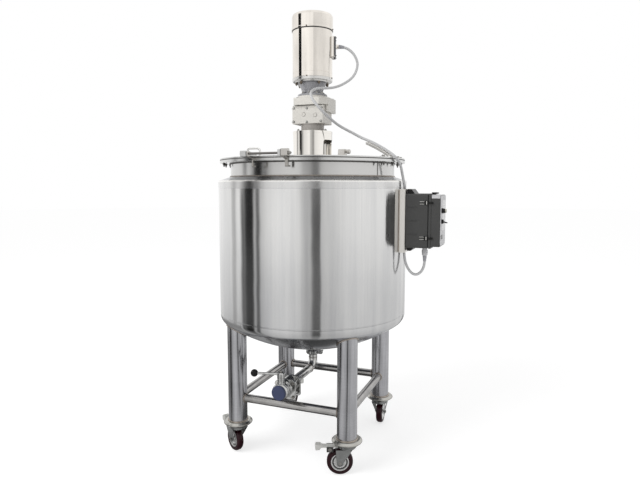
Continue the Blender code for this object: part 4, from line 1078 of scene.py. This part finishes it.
motor = [(0.070, shield_z + 0.0206), (0.0940, shield_z + 0.0206), (0.0947, shield_z + 0.0212, 0.0004),
         (0.0947, 1.7945), (0.0940, 1.7948), (0.0940, 1.7956), (0.0947, 1.7959),
         (0.0947, seam_z - 0.004), (0.0930, seam_z - 0.0035), (0.0930, seam_z), (0.070, seam_z)]
motor_work = Work().turn(end_shield, finish=1, steps=144).turn(motor, steps=144)
motor_work.done("motor_shroud", [warm_steel, band_steel], stands_for=["motor_body"], slot="polished_steel")
top_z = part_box("fan_cowl")[1][2]
cowl_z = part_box("fan_cowl")[0][2]
seam_shade_and_gasket_black = Finish("seam_shade_and_gasket_black", (0.02, 0.02, 0.02), 0.5)
cowl = Work()
cowl.turn([(0.092, cowl_z), (0.0985, cowl_z, 0.0012), (0.0985, cowl_z + 0.006, 0.0012),
           (0.0972, cowl_z + 0.008, 0.001), (0.0972, top_z - 0.014, 0.003), (0.0935, top_z - 0.004, 0.005),
           (0.0845, top_z, 0.004), (0, top_z), (0, top_z - 0.004), (0.092, top_z - 0.016)], steps=144)
# The black ring in the seam under the cowl is painted shade in the gap.
cowl.turn([(0.0915, seam_z - 0.0038), (0.0961, seam_z - 0.0036), (0.0961, cowl_z + 0.0008),
           (0.0915, cowl_z + 0.0008)],
          finish=1, steps=96)
cowl.done("motor_cowl", [warm_steel, seam_shade_and_gasket_black], stands_for=["fan_cowl"], slot="polished_steel")
cowl_screw_r, shroud_screw_r, shroud_screw_z = 0.0984, 0.0946, 1.773
screw_turns = [-84 + 90 * i for i in range(4)]
cowl_screws = around(cowl_screw_r, cowl_z + 0.0032, screw_turns)
cowl_screws += around(shroud_screw_r, shroud_screw_z, screw_turns)
bolts("shroud_screws", cowl_screws, 0.0055, 0.0016, 0.0066, 0.0002, nut_steel)
shield_nuts = around(0.0775, shield_z, [46, -145, -45, -111, 90, 165], DOWN)
bolts("shield_nuts", shield_nuts, 0.0115, 0.008, 0.014, 0.004, nut_steel)

term_high, term_half, term_z = 0.1105, 0.033, (1.870, 1.963)
lid_grey = paint("lid_grey", (0.10, 0.10, 0.105), 0.35)
terminal = Work()
term_at = place(turn=terminal_turn)
back_r = 0.0948
back_turns = [math.radians(20.3 - 4.06 * i) for i in range(11)]
back_edge = [(back_r * math.cos(a), back_r * math.sin(a)) for a in back_turns]
term_plan = [(term_high - 0.004, -term_half, 0.004), (term_high - 0.004, term_half, 0.004), *back_edge]
terminal.plate(term_plan, *term_z, term_at, edge=0.0012)
lid_plan = boxed((-term_half, term_half), term_z, 0.005, 5)
terminal.plate(lid_plan, term_high - 0.0085, term_high, term_at, plane="YZ", finish=2, edge=0.0008)
seal_plan = boxed((-0.0342, 0.0342), (1.8688, 1.9642), 0.006, 5)
terminal.plate(seal_plan, term_high - 0.0105, term_high - 0.0080, term_at, plane="YZ", finish=1, edge=0.0006)
nut_at = term_at @ Matrix.Translation((0, 0, gland_z)) @ TO_RIGHT
terminal.turn([(0, 0.109), (0.0115, 0.109), (0.0115, 0.1165, 0.001), (0, 0.1165)], nut_at, steps=6)
terminal.turn([(0, 0.116), (0.0102, 0.116), (0.0102, gland_end - 0.001, 0.002), (0.0068, gland_end),
               (0, gland_end)],
              nut_at, steps=32)
terminal.done("terminal_box_and_gland", [warm_steel, seam_shade_and_gasket_black, lid_grey], stands_for=["terminal_box"])
screw_rows = (term_z[0] + 0.006, term_z[1] - 0.006)
box_screws = [aimed(term_at, (term_high - 0.0002, y, z), RIGHT) for y in (-0.027, 0.027) for z in screw_rows]
bolts("terminal_screws", box_screws, 0.005, 0.002, 0.007)


# The cable lies on a folded channel, open below, that stands on the lid on a thin foot.

tray_steel = steel("tray_steel", (0.92, 0.90, 0.86), 0.40, (160, 160, 160))
tray_at = Matrix.Translation(tray_start) @ tray_along
tray_s0 = 0.032
tray_half, tray_deep, tray_wall = 0.014, 0.012, 0.0025
(s0, h0), (s1, h1) = tray_line[:2]
stations = [(tray_s0, h0 + (h1 - h0) * (tray_s0 - s0) / (s1 - s0))] + list(tray_line[1:])
tray = Work()
sections = []
way = [(a[0] + (b[0] - a[0]) * t / 4, a[1] + (b[1] - a[1]) * t / 4)
       for a, b in zip(stations, stations[1:]) for t in range(4)]
for s, h in way + [stations[-1]]:
    top_h = h - cable_r - 0.0014
    low_h = max(top_h - tray_deep, lid_top_z + 0.0008)
    in_h = max(top_h - tray_wall, low_h + 0.0002)
    ring = rounded([(-tray_half, low_h), (-tray_half, top_h, 0.002), (tray_half, top_h, 0.002),
                    (tray_half, low_h), (tray_half - tray_wall, low_h), (tray_half - tray_wall, in_h),
                    (tray_wall - tray_half, in_h), (tray_wall - tray_half, low_h)])
    sections.append([(s, p.x, p.y) for p in ring])
tray.skin(sections, tray_at, capped=True)
tray.block((0.110, 0.158), (-tray_half, tray_half), (lid_top_z + 0.0003, lid_top_z + 0.0033), tray_at,
           edge=0.0008)
tray.done("cable_channel", [tray_steel], stands_for=["cable_tray"])
tray_bolts = [aimed(tray_at, (0.117, 0, lid_top_z + 0.0031), UP)]
lid_studs = [((x, y, lid_top_z), UP) for x, y in ((0.345, -0.030), (0.360, -0.040))]
bolts("tray_bolts", tray_bolts + lid_studs, 0.010, 0.006, 0.016, 0.003)


# The control box hangs on a folded steel bracket at the right. Its case and cover are charcoal plastic with
# rounded edges and latches, and the pale front has a knob, a lever switch and a bare label.

bracket_steel = steel("bracket_steel", (0.74, 0.72, 0.68), 0.33, (160, 160, 160))
bracket_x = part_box("control_bracket")[1][0]
bracket_z = (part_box("control_bracket")[0][2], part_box("control_bracket")[1][2])
bracket_half = 0.0725
seat = jacket_r + 0.0006
outer = math.sqrt(seat ** 2 - bracket_half ** 2)
inner = math.sqrt(seat ** 2 - (bracket_half - wall) ** 2)
channel = [(outer, -bracket_half), (bracket_x, -bracket_half, 0.004), (bracket_x, bracket_half, 0.004),
           (outer, bracket_half), (inner, bracket_half - wall),
           (bracket_x - wall, bracket_half - wall, 0.002), (bracket_x - wall, wall - bracket_half, 0.002),
           (inner, wall - bracket_half)]
bracket = Work().plate(channel, *bracket_z, edge=0.0006)
bracket.done("box_bracket", [bracket_steel], stands_for=["control_bracket"])
side_seams = []
seam_long = 0.2755
for side in (-1, 1):
    seam_low = Vector((outer + 0.0012, side * (bracket_half + 0.0006), bracket_z[0] + 0.004))
    side_seams.append([seam_low + Vector((0, 0, seam_long * i / 60)) for i in range(61)])
weld("bracket_welds", side_seams, 0.0045, closed=False)


def plastic(name, colour, rough, grain=900, relief=0.2, shine=0.4):
    """Moulded plastic with a fine grain."""
    finish = Finish(name, colour, rough, fixed={"Specular IOR Level": shine})
    finish.tint(finish.noise((25, 25, 25), 3.0), 0.88, 1.10)
    finish.relief(finish.noise((grain, grain, grain)), relief, 0.0006)
    return finish


charcoal = plastic("charcoal_plastic", (0.046, 0.046, 0.045), 0.42)
black = plastic("black_plastic", (0.007, 0.007, 0.007), 0.25, relief=0.08, shine=0.2)
pale = plastic("pale_plastic", (0.50, 0.50, 0.51), 0.4, relief=0.1)
label_white = plastic("label_plastic", (0.66, 0.66, 0.66), 0.35, relief=0.05)
latch_steel_and_painted_highlight = steel("latch_steel_and_painted_highlight", (0.66, 0.65, 0.62), 0.22, (200, 200, 200))
box_half = 0.066
x0, x1 = bracket_x + 0.0003, 0.5720
z0, z1 = 0.9926, 1.2340
case = Work()
case_side = boxed((-box_half, box_half), (z0, z1), 0.010, 6)
case.plate(case_side, x0, x1 - 0.0008, plane="YZ", edge=0.003)
case.block((x1 - 0.004, x1 + 0.004), (0.003 - box_half, box_half - 0.003), (z0 + 0.003, z1 - 0.003), finish=1,
           edge=0.002)
for edge, tip in ((z1 - 0.004, 1.2545), (z0 + 0.004, 0.977)):
    ear = [(x0 + 0.002, edge), (x0 + 0.004, tip, 0.005), (x0 + 0.021, tip, 0.005), (x0 + 0.040, edge)]
    case.plate(ear, -0.045, 0.045, plane="XZ", edge=0.002, finish=1)
for y in (-box_half - 0.0012, box_half + 0.0012):
    for k in range(3):
        rib_z = z0 + 0.06 + 0.06 * k
        case.block((x0 + 0.004, x0 + 0.052), (y - 0.0008, y + 0.0008), (rib_z, rib_z + 0.0022), edge=0.0004)
gland_at = place(box_gland.x, 0, 0)
case.turn([(0, 0.9533), (0.0085, 0.9533, 0.001), (0.0125, 0.957, 0.003), (0.0130, 0.968), (0, 0.968)],
          gland_at, finish=2, steps=36)
case.turn([(0, 0.9675), (0.0138, 0.9675, 0.001), (0.0138, 0.980, 0.001), (0, 0.980)], gland_at, finish=2,
          steps=6)
case.turn([(0, 0.979), (0.011, 0.979), (0.011, z0 + 0.001), (0, z0 + 0.001)], gland_at, finish=2, steps=32)
case.done("control_case", [charcoal, black, pale], stands_for=["drive_housing"], slot="charcoal_plastic")

lid_x1, front_x = 0.586, 0.6255
rim_side = boxed((-box_half - 0.001, box_half + 0.001), (z0 - 0.001, z1 + 0.001), 0.011, 6)
cover_z = (1.0005, 1.2285)
front_side = boxed((-box_half + 0.002, box_half - 0.002), cover_z, 0.009, 6)
lid = Work()
lid.plate(rim_side, x1 + 0.0018, lid_x1, plane="YZ", edge=0.003)
lid.plate(front_side, lid_x1 - 0.006, front_x, plane="YZ", edge=0.004)
lid.block((lid_x1 + 0.001, front_x - 0.001), (-box_half + 0.0012, box_half - 0.0012),
          (cover_z[1] - 0.015, cover_z[1] + 0.0008), finish=1, edge=0.002)
lid.done("control_cover", [charcoal, pale], stands_for=["drive_cover"], slot="charcoal_plastic")
latches = Work()
# The thin light strip that stands out on each latch is a painted highlight; the ribs are light steel.
latch_parts = (
    (0.536, 0.562, 0.0030, -0.0060, -0.0042, 1, 0.0004), (0.536, 0.562, 0.0030, 0.0050, 0.0068, 1, 0.0004),
    (0.556, 0.5705, 0.0055, -0.0085, 0.0095, 0, 0.0016), (0.564, 0.5945, 0.0080, -0.0035, 0.0040, 0, 0.0016),
    (0.5655, 0.5690, 0.0090, -0.0065, 0.0085, 1, 0.0006),
)
for side in (-1, 1):
    skin_y = side * (box_half + 0.0002)
    for z in (1.194, 1.038):
        for near, far, out, low, high, finish, edge in latch_parts:
            across = sorted((skin_y, skin_y + side * out))
            latches.block((near, far), across, (z + low, z + high), finish=finish, edge=edge)
latches.block((0.579, 0.605), (-0.020, 0.020), (z1 - 0.001, 1.2400), edge=0.0015)
latches.done("control_latches", [black, latch_steel_and_painted_highlight], slot="black_plastic")

panel = Work()
panel_z = (1.006, 1.2265)
panel_half = box_half - 0.003
panel.plate(boxed((-panel_half, panel_half), panel_z, 0.008, 6), front_x + 0.0003, 0.6285, plane="YZ",
            edge=0.0008)
label = boxed((-0.030, 0.052), (1.072, 1.205), 0.002)
panel.plate(label, 0.6280, 0.6288, plane="YZ", finish=1, edge=0.0002)
window_glass = boxed((-0.055, -0.012), (1.034, 1.053), 0.002)
panel.plate(window_glass, 0.6280, 0.6292, plane="YZ", finish=2, edge=0.0002)
panel.done("control_panel", [pale, label_white, black], stands_for=["fascia"], slot="light_plastic")

face_x = 0.6288
knobs_y, knob_z, switch_z = -0.045, 1.160, 1.113
knob_cap = steel("knob_cap", (0.50, 0.49, 0.42), 0.25, (200, 200, 200))
knob = Work()
knob_at = place(face_x, knobs_y, knob_z) @ TO_RIGHT
knob.turn([(0, 0), (0.0115, 0), (0.0115, 0.007, 0.001), (0.0092, 0.009, 0.001), (0.0088, 0.0150),
           (0, 0.0150)],
          knob_at, steps=48)
knob.turn([(0, 0.0148), (0.0087, 0.0148), (0.0085, 0.0205, 0.0015), (0, 0.0210)], knob_at, finish=1, steps=48)
for i in range(16):
    knob.block((0.0086, 0.0096), (-0.0007, 0.0007), (0.0085, 0.0150), knob_at @ place(turn=22.5 * i),
               edge=0.0002)
knob.done("speed_dial", [black, knob_cap], "speed_knob", ["speed_knob"], "black_plastic")
switch = Work()
switch_at = place(face_x, knobs_y, switch_z)
switch.turn([(0, 0), (0.010, 0, 0.001), (0.009, 0.009, 0.002), (0, 0.009)], switch_at @ TO_RIGHT, steps=48)
lever = [(0.004, -0.004), (0.0245, -0.0075, 0.002), (0.0262, -0.0035, 0.002), (0.006, 0.0025)]
switch.plate(lever, -0.0032, 0.0032, switch_at, plane="XZ", edge=0.001)
switch.done("lever_switch", [black], "selector_switch", ["selector_switch"], "black_plastic")


# Four round legs are welded under the jacket's dished bottom, and stand on turned foot discs. Round rails
# join them, with ends cut to fit the legs, and every joint has a weld.

leg_at, leg_r, rail_r, rail_z = 0.2732, 0.04445, 0.0195, 0.273
disc_r, disc_z, disc_t = 0.0678, 0.147, 0.017
leg_steel = Finish("leg_steel", (0.50, 0.50, 0.52), 0.22, 1.0,
                   {"Anisotropic": 0.7, "Anisotropic Rotation": 0.25})
grain = leg_steel.noise((9, 9, 420), 3.0)
streak = leg_steel.noise((60, 60, 3), 4.0)
patch = leg_steel.noise((18, 18, 7), 5.0)
leg_steel.tint(grain * 0.3 + streak * 0.9 + patch * 0.6 - 0.4, 0.62, 1.28)
leg_steel.roughen(0.16 + (patch - 0.5) * 0.25 + (streak - 0.5) * 0.1)
leg_steel.relief(grain, 0.05)
disc_steel = steel("disc_steel", (0.51, 0.50, 0.47), 0.22, (90, 90, 90), relief=0.15)
rail_steel = Finish("rail_steel", (0.44, 0.43, 0.42), 0.22, 1.0)
grain = rail_steel.noise((200, 200, 200), 3.0)
patch = rail_steel.noise((22, 22, 22), 5.0)
rail_steel.tint(grain * 0.4 + patch * 1.4 - 0.4, 0.66, 1.20)
rail_steel.roughen(0.14 + (patch - 0.5) * 0.22)
rail_steel.relief(grain, 0.05)

under = [(r + 0.0006, z - 0.0006) for r, z in dished(jacket_r, jacket_tangent_z)]


def ring_at(x, y, r):
    """A ring on the underside of the jacket, about a leg's axis."""
    return [(px, py, height_at(under, math.hypot(px, py))) for px, py, _ in circle(r, 0, 72, x, y)]


leg_welds = []
corners = {"fl": (-1, -1), "fr": (1, -1), "rr": (1, 1), "rl": (-1, 1)}
for name, (sx, sy) in corners.items():
    x, y = sx * leg_at, sy * leg_at
    leg = Work()
    foot = [(0, disc_z), (disc_r - 0.006, disc_z, 0.002), (disc_r, disc_z + 0.005, 0.003),
            (disc_r, disc_z + 0.009, 0.002), (disc_r - 0.010, disc_z + disc_t, 0.004),
            (leg_r, disc_z + disc_t), (0, disc_z + disc_t)]
    leg.turn(foot, place(x, y), finish=1, steps=96)
    low_ring = circle(leg_r, disc_z + disc_t, 72, x, y)
    tops = [ring_at(x, y, leg_r * k) for k in (1.0, 0.75, 0.5, 0.25)]
    leg.skin([[(x, y, disc_z + disc_t)], low_ring, *tops, [(x, y, height_at(under, math.hypot(x, y)))]])
    leg.done("leg_tube_" + name, [leg_steel, disc_steel], stands_for=["leg_" + name])
    leg_welds.append([(px, py, pz - 0.001) for px, py, pz in ring_at(x, y, leg_r + 0.0012)])
    leg_welds.append(circle(leg_r + 0.001, disc_z + disc_t + 0.001, 60, x, y))
weld("leg_welds", leg_welds, 0.006)

rail_welds = []
rail_seat, bead_out = leg_r + 0.0013, 1.06
rail_sides = (("front", 0, 0, -leg_at), ("right", 90, leg_at, 0), ("rear", 180, 0, leg_at),
              ("left", 270, -leg_at, 0))
for name, turned_by, dx, dy in rail_sides:
    rail_at = place(dx, dy, rail_z, turned_by)
    rings = []
    for sign in (-1, 1):
        end_rings = []
        for size in (0.0, 0.5, 1.0):
            ring = []
            for u, v, _ in circle(rail_r * size, 0, 48 if size else 1):
                ring.append((sign * (leg_at - math.sqrt(rail_seat ** 2 - u ** 2)), u, v))
            end_rings.append(ring)
        rings += end_rings if sign < 0 else end_rings[::-1]
        bead = [(x - sign * 0.001, u * bead_out, v * bead_out) for x, u, v in end_rings[2]]
        rail_welds.append([rail_at @ Vector(p) for p in bead])
    Work().skin(rings, rail_at).done("rail_tube_" + name, [rail_steel], stands_for=["rail_" + name])
weld("rail_welds", rail_welds, 0.005)


# Each caster has a zinc-plated fork on a ball race, and a brake pedal on the trailing side. The tyre is dark
# red rubber on a metal rim with a raised ring.

zinc = paint("zinc", (0.34, 0.345, 0.34), 0.20, 0.5, 60)
zinc.feed(zinc.shader.inputs["Metallic"], 0.95)
pedal_zinc = paint("pedal_zinc", (0.74, 0.74, 0.71), 0.34, 0.2, 90)
pedal_zinc.feed(pedal_zinc.shader.inputs["Metallic"], 0.6)
dark_metal = paint("dark_metal", (0.030, 0.030, 0.030), 0.40)
tyre = Finish("tyre_rubber", (0.016, 0.0012, 0.0036), 0.26, fixed={"Specular IOR Level": 0.28})
tyre.tint(tyre.noise((60, 60, 60), 4.0), 0.6, 1.5)
tyre.relief(tyre.noise((500, 500, 500)), 0.2)
hub_metal = steel("hub_metal", (0.86, 0.86, 0.85), 0.28, (150, 150, 150))
wheel_r, wheel_half, trail = 0.058, 0.016, 0.031
crown_z, cheek_top, top_gap, eye_r = 0.121, 0.125, 0.1465, 0.0155
tyre_line = rounded([(0.0375, -0.0125), (0.0405, -0.0150, 0.001), (0.0525, -0.0160, 0.003),
                     (0.058, -0.0085, 0.005), (0.058, 0.0085, 0.005), (0.0525, 0.0160, 0.003),
                     (0.0405, 0.0150, 0.001), (0.0375, 0.0125)], 5)
rim_half = [(0.0054, 0.0160), (0.0125, 0.0160, 0.001), (0.0125, 0.0115), (0.0210, 0.0105, 0.001),
            (0.0220, 0.0130, 0.001), (0.0275, 0.0130, 0.001), (0.0285, 0.0090, 0.001),
            (0.0335, 0.0090, 0.001), (0.0345, 0.0140, 0.001), (0.0398, 0.0150, 0.0008)]
rim_line = rounded([(p[0], -p[1], *p[2:]) for p in rim_half] + rim_half[::-1])
dark_ring = [(0.0286, 0.0088), (0.0286, 0.0094), (0.0337, 0.0094), (0.0337, 0.0088)]
pedal = [(0.030, 0.1240), (0.114, 0.1240, 0.006), (0.121, 0.1135, 0.002), (0.1385, 0.1120, 0.003),
         (0.1415, 0.1330, 0.004), (0.1370, 0.1385, 0.003), (0.1180, 0.1385, 0.004), (0.110, 0.1310, 0.006),
         (0.030, 0.1300)]
ridge_x, ridge_step = 0.1195, 0.0038
cheek = [(-0.022, cheek_top)]
for i in range(15):
    a = math.pi * i / 14
    cheek.append((trail - eye_r * math.cos(a), wheel_r - eye_r * math.sin(a)))
cheek.append((0.050, cheek_top))
swivels = {"fl": 147.5, "fr": 201.5, "rr": 95.0, "rl": 75.0}
for name, (sx, sy) in corners.items():
    fork_at = place(sx * leg_at, sy * leg_at, 0, swivels[name])
    wheel_at = fork_at @ Matrix.Translation((trail, 0, wheel_r)) @ TO_FRONT
    wheel = Work()
    wheel.turn(tyre_line, wheel_at, steps=96)
    wheel.turn(rim_line, wheel_at, finish=1, steps=72)
    wheel.turn(dark_ring, wheel_at, finish=2, steps=72)
    wheel.turn([(r, -h) for r, h in dark_ring], wheel_at, finish=2, steps=72)
    wheel.done("tyre_and_rim_" + name, [tyre, hub_metal, dark_metal],
               "wheel_" + name, ["wheel_" + name], "tyre")

    fork = Work()
    fork.turn([(0, crown_z), (0.037, crown_z, 0.002), (0.042, crown_z + 0.005, 0.003), (0.042, 0.1320, 0.002),
               (0.0405, 0.1325), (0.0405, 0.1335), (0.0415, 0.1340), (0.0415, 0.1368, 0.001),
               (0.030, 0.1385, 0.001), (0.030, top_gap), (0, top_gap)], fork_at, steps=72)
    for side in (-1, 1):
        inner_y = side * (wheel_half + 0.005)
        outer_y = inner_y + side * 0.003

        def flare(co, side=side):
            rise = max(0.0, co.z - wheel_r) / (cheek_top - wheel_r)
            return Vector((co.x, co.y + side * 0.016 * rise, co.z))

        fork.plate(cheek, *sorted((inner_y, outer_y)), fork_at, plane="XZ", edge=0.0007, warp=flare)
    fork.turn(rod(0.005, -0.029, 0.029), wheel_at, steps=28)
    fork.plate(pedal, -0.015, 0.015, fork_at, finish=2, plane="XZ", edge=0.0016)
    for k in range(5):
        x = ridge_x + ridge_step * k
        fork.block((x, x + 0.0015), (-0.013, 0.013), (0.1375, 0.1394), fork_at, finish=2, edge=0.0004)
    fork.block((0.066, 0.084), (-0.020, 0.020), (0.110, 0.127), fork_at, finish=1, edge=0.002)
    for y in ((-0.0215, -0.0185), (0.0185, 0.0215)):
        fork.block((0.060, 0.090), y, (0.107, 0.130), fork_at, finish=1, edge=0.001)
    fork.done("fork_and_pedal_" + name, [zinc, dark_metal, pedal_zinc],
              "fork_" + name, ["fork_" + name], "zinc")
    heads = [aimed(fork_at, (trail, side * 0.0242, wheel_r), (0, side, 0)) for side in (-1, 1)]
    heads += [aimed(fork_at, (0.075, side * 0.0216, 0.1185), (0, side, 0)) for side in (-1, 1)]
    bolts("axle_nuts_" + name, heads, 0.0125, 0.0035, 0.017, 0.001, body="fork_" + name)


# The outlet is a clamped joint under the stub and a bent pipe that leads to the valve. The valve has a bolted
# body, a blue cap at its mouth, and a lever with a black ball on its stem.

pipe_steel = steel("pipe_steel", (0.60, 0.595, 0.58), 0.05, (150, 150, 150))
pipe_marks = pipe_steel.noise((38, 38, 38), 4.0)
pipe_steel.tint(pipe_marks * 2.0 - 0.5, 0.62, 1.22)
clamp_steel = steel("clamp_steel", (0.40, 0.40, 0.395), 0.08, (220, 220, 220))
clamp_steel.tint(clamp_steel.noise((70, 70, 70), 4.0) * 1.6 - 0.3, 0.40, 1.45)
valve_steel = steel("valve_steel", (0.56, 0.56, 0.55), 0.10, (220, 220, 220))
valve_marks = valve_steel.noise((55, 55, 55), 4.0)
valve_steel.tint(valve_marks * 2.2 - 0.6, 0.55, 1.30)
pipe_z, bend_r = 0.372, 0.045
clamp_low, clamp_high = 0.4365, 0.4575
mid = (clamp_low + clamp_high) / 2
joint = Work()
joint.turn([(outlet_r + 0.0004, mid - 0.0065), (0.0255, mid - 0.0040), (0.0255, mid + 0.0040),
            (outlet_r + 0.0004, mid + 0.0065)], steps=64)
joint.turn([(0.0245, clamp_low, 0.001), (0.0305, clamp_low, 0.002), (0.0335, mid - 0.006, 0.002),
            (0.0335, mid + 0.006, 0.002), (0.0305, clamp_high, 0.002), (0.0245, clamp_high, 0.001),
            (0.0270, mid + 0.003), (0.0270, mid - 0.003)], steps=80)
for y in ((-0.0105, -0.0020), (0.0020, 0.0105)):
    joint.block((0.030, 0.050), y, (clamp_low + 0.002, clamp_high - 0.002), edge=0.002)
screw_at = place(0.042, 0, mid) @ TO_FRONT
joint.turn(rod(0.0032, -0.030, 0.020), screw_at, steps=20)
joint.turn([(0, 0.0105), (0.0075, 0.0105, 0.001), (0.0055, 0.020, 0.001), (0, 0.020)], screw_at, steps=32)
wing = rounded([(0.003, 0.012), (0.012, 0.0125, 0.003), (0.0165, 0.0230, 0.002), (0.0115, 0.0235, 0.002),
                (0.004, 0.0185)])
for sign in (-1, 1):
    joint.plate([(sign * u, v) for u, v in wing], -0.0022, 0.0022, screw_at, plane="XZ", edge=0.0008)
joint.turn(rod(0.0014, -0.062, 0.004), place(0.034, -0.030, clamp_low), steps=16)
joint.done("outlet_joint", [clamp_steel], stands_for=["outlet_clamp"])

pipe_path = [Vector((0, 0, stub_z - 0.0003)), Vector((0, 0, pipe_z + bend_r + 0.001))]
for i in range(17):
    a = math.pi / 2 * i / 16
    pipe_path.append(Vector((0, -bend_r * (1 - math.cos(a)), pipe_z + bend_r - bend_r * math.sin(a))))
pipe_path += [Vector((0, -0.050, pipe_z)), Vector((0, -0.235, pipe_z))]
Work().tube(pipe_path, outlet_r, steps=48).done("outlet_bend", [pipe_steel], stands_for=["outlet_pipe"])
seam = circle(outlet_r * 1.02, pipe_z + bend_r + 0.001, 40)
weld("bend_welds", [seam, [(x, -bend_r - 0.001, pipe_z + y) for x, y, _ in seam]], 0.003)

axis = place(0, 0, pipe_z) @ TO_FRONT
back, front_end = 0.2353, 0.3877
cap_r, stem_y = 0.0325, -0.370
valve = Work()
valve.turn([(0, back), (0.027, back, 0.001), (0.027, back + 0.010, 0.003), (0.040, back + 0.020, 0.003),
            (0.040, front_end - 0.045, 0.002), (0.032, front_end - 0.040, 0.003),
            (0.032, front_end - 0.028, 0.002), (0.0375, front_end - 0.024, 0.001),
            (0.0375, front_end - 0.0165, 0.001), (0.0350, front_end - 0.0150), (0.0350, front_end - 0.0135),
            (0.0375, front_end - 0.0120, 0.001), (0.0375, front_end - 0.006, 0.002),
            (cap_r, front_end, 0.002), (0, front_end)], axis, steps=80)
flange = rounded([(-0.042, -0.050, 0.010), (0.048, -0.050, 0.010), (0.048, 0.028, 0.008),
                  (0.034, 0.040, 0.008), (-0.030, 0.040, 0.010), (-0.042, 0.030, 0.008)], 5)
flange_places = (back + 0.026, back + 0.078)
for y0 in flange_places:
    valve.plate(flange, -y0 - 0.012, -y0, place(0, 0, pipe_z), plane="XZ", edge=0.0018)
corner_bolts = ((-0.031, -0.039), (0.037, -0.039), (0.036, 0.023), (-0.030, 0.029))
ends = []
for x, z in corner_bolts:
    bar = rod(0.0042, flange_places[0], flange_places[1] + 0.002)
    valve.turn(bar, place(x, 0, pipe_z + z) @ TO_FRONT, steps=24)
    ends.append(((x, -flange_places[1] - 0.0121, pipe_z + z), FRONT))
    ends.append(((x, -flange_places[0] + 0.0001, pipe_z + z), REAR))
stem_r, stem_top = 0.0165, 0.0620
valve.turn([(0, 0.02), (stem_r, 0.02), (stem_r, stem_top - 0.020, 0.001),
            (stem_r - 0.0025, stem_top - 0.018, 0.001), (stem_r - 0.0025, stem_top - 0.006, 0.001),
            (stem_r, stem_top - 0.005, 0.001), (stem_r, stem_top), (0, stem_top)], place(0, stem_y, pipe_z),
            steps=48)
valve.done("valve_casting", [valve_steel], stands_for=["valve_body"])
bolts("valve_bolts", ends, 0.011, 0.0065, 0.0165, 0.003)

blue = plastic("cap_blue", (0.036, 0.046, 0.098), 0.42, 600, 0.15, 0.3)
cap = [(0, 0.388), (cap_r, 0.388, 0.001), (cap_r, 0.398, 0.001), (cap_r - 0.0035, 0.402, 0.002),
       (0.0255, 0.402, 0.001), (0.0245, 0.4012), (0, 0.4012)]
Work().turn(cap, axis, steps=96).done("blue_cap", [blue], stands_for=["valve_cap"], slot="cap_blue")

handle = Work()
hub_low = pipe_z + stem_top + 0.0003
handle_at = place(0, stem_y, 0, 194.0)
handle.turn([(0, hub_low), (stem_r + 0.0003, hub_low, 0.001), (stem_r + 0.0003, hub_low + 0.018, 0.003),
             (0.013, hub_low + 0.024, 0.002), (0, hub_low + 0.024)], handle_at, steps=56)
lever_z, ball_r = 0.4495, 0.0165
handle.tube([(0.010, 0, lever_z), (0.060, 0, lever_z), (0.119, 0, lever_z)], 0.0055, handle_at, steps=28)
ball = [(0, lever_z - ball_r)]
for i in range(1, 20):
    a = math.pi * i / 20
    ball.append((ball_r * math.sin(a), lever_z - ball_r * math.cos(a)))
ball.append((0, lever_z + ball_r))
handle.turn(ball, handle_at @ place(0.119), finish=1, steps=40)
handle.done("valve_handle", [valve_steel, black], "valve_lever", ["valve_lever"])
bolts("lever_nut", [((0, stem_y, hub_low + 0.0235), UP)], 0.010, 0.0050, 0.0, 0.001, body="valve_lever")
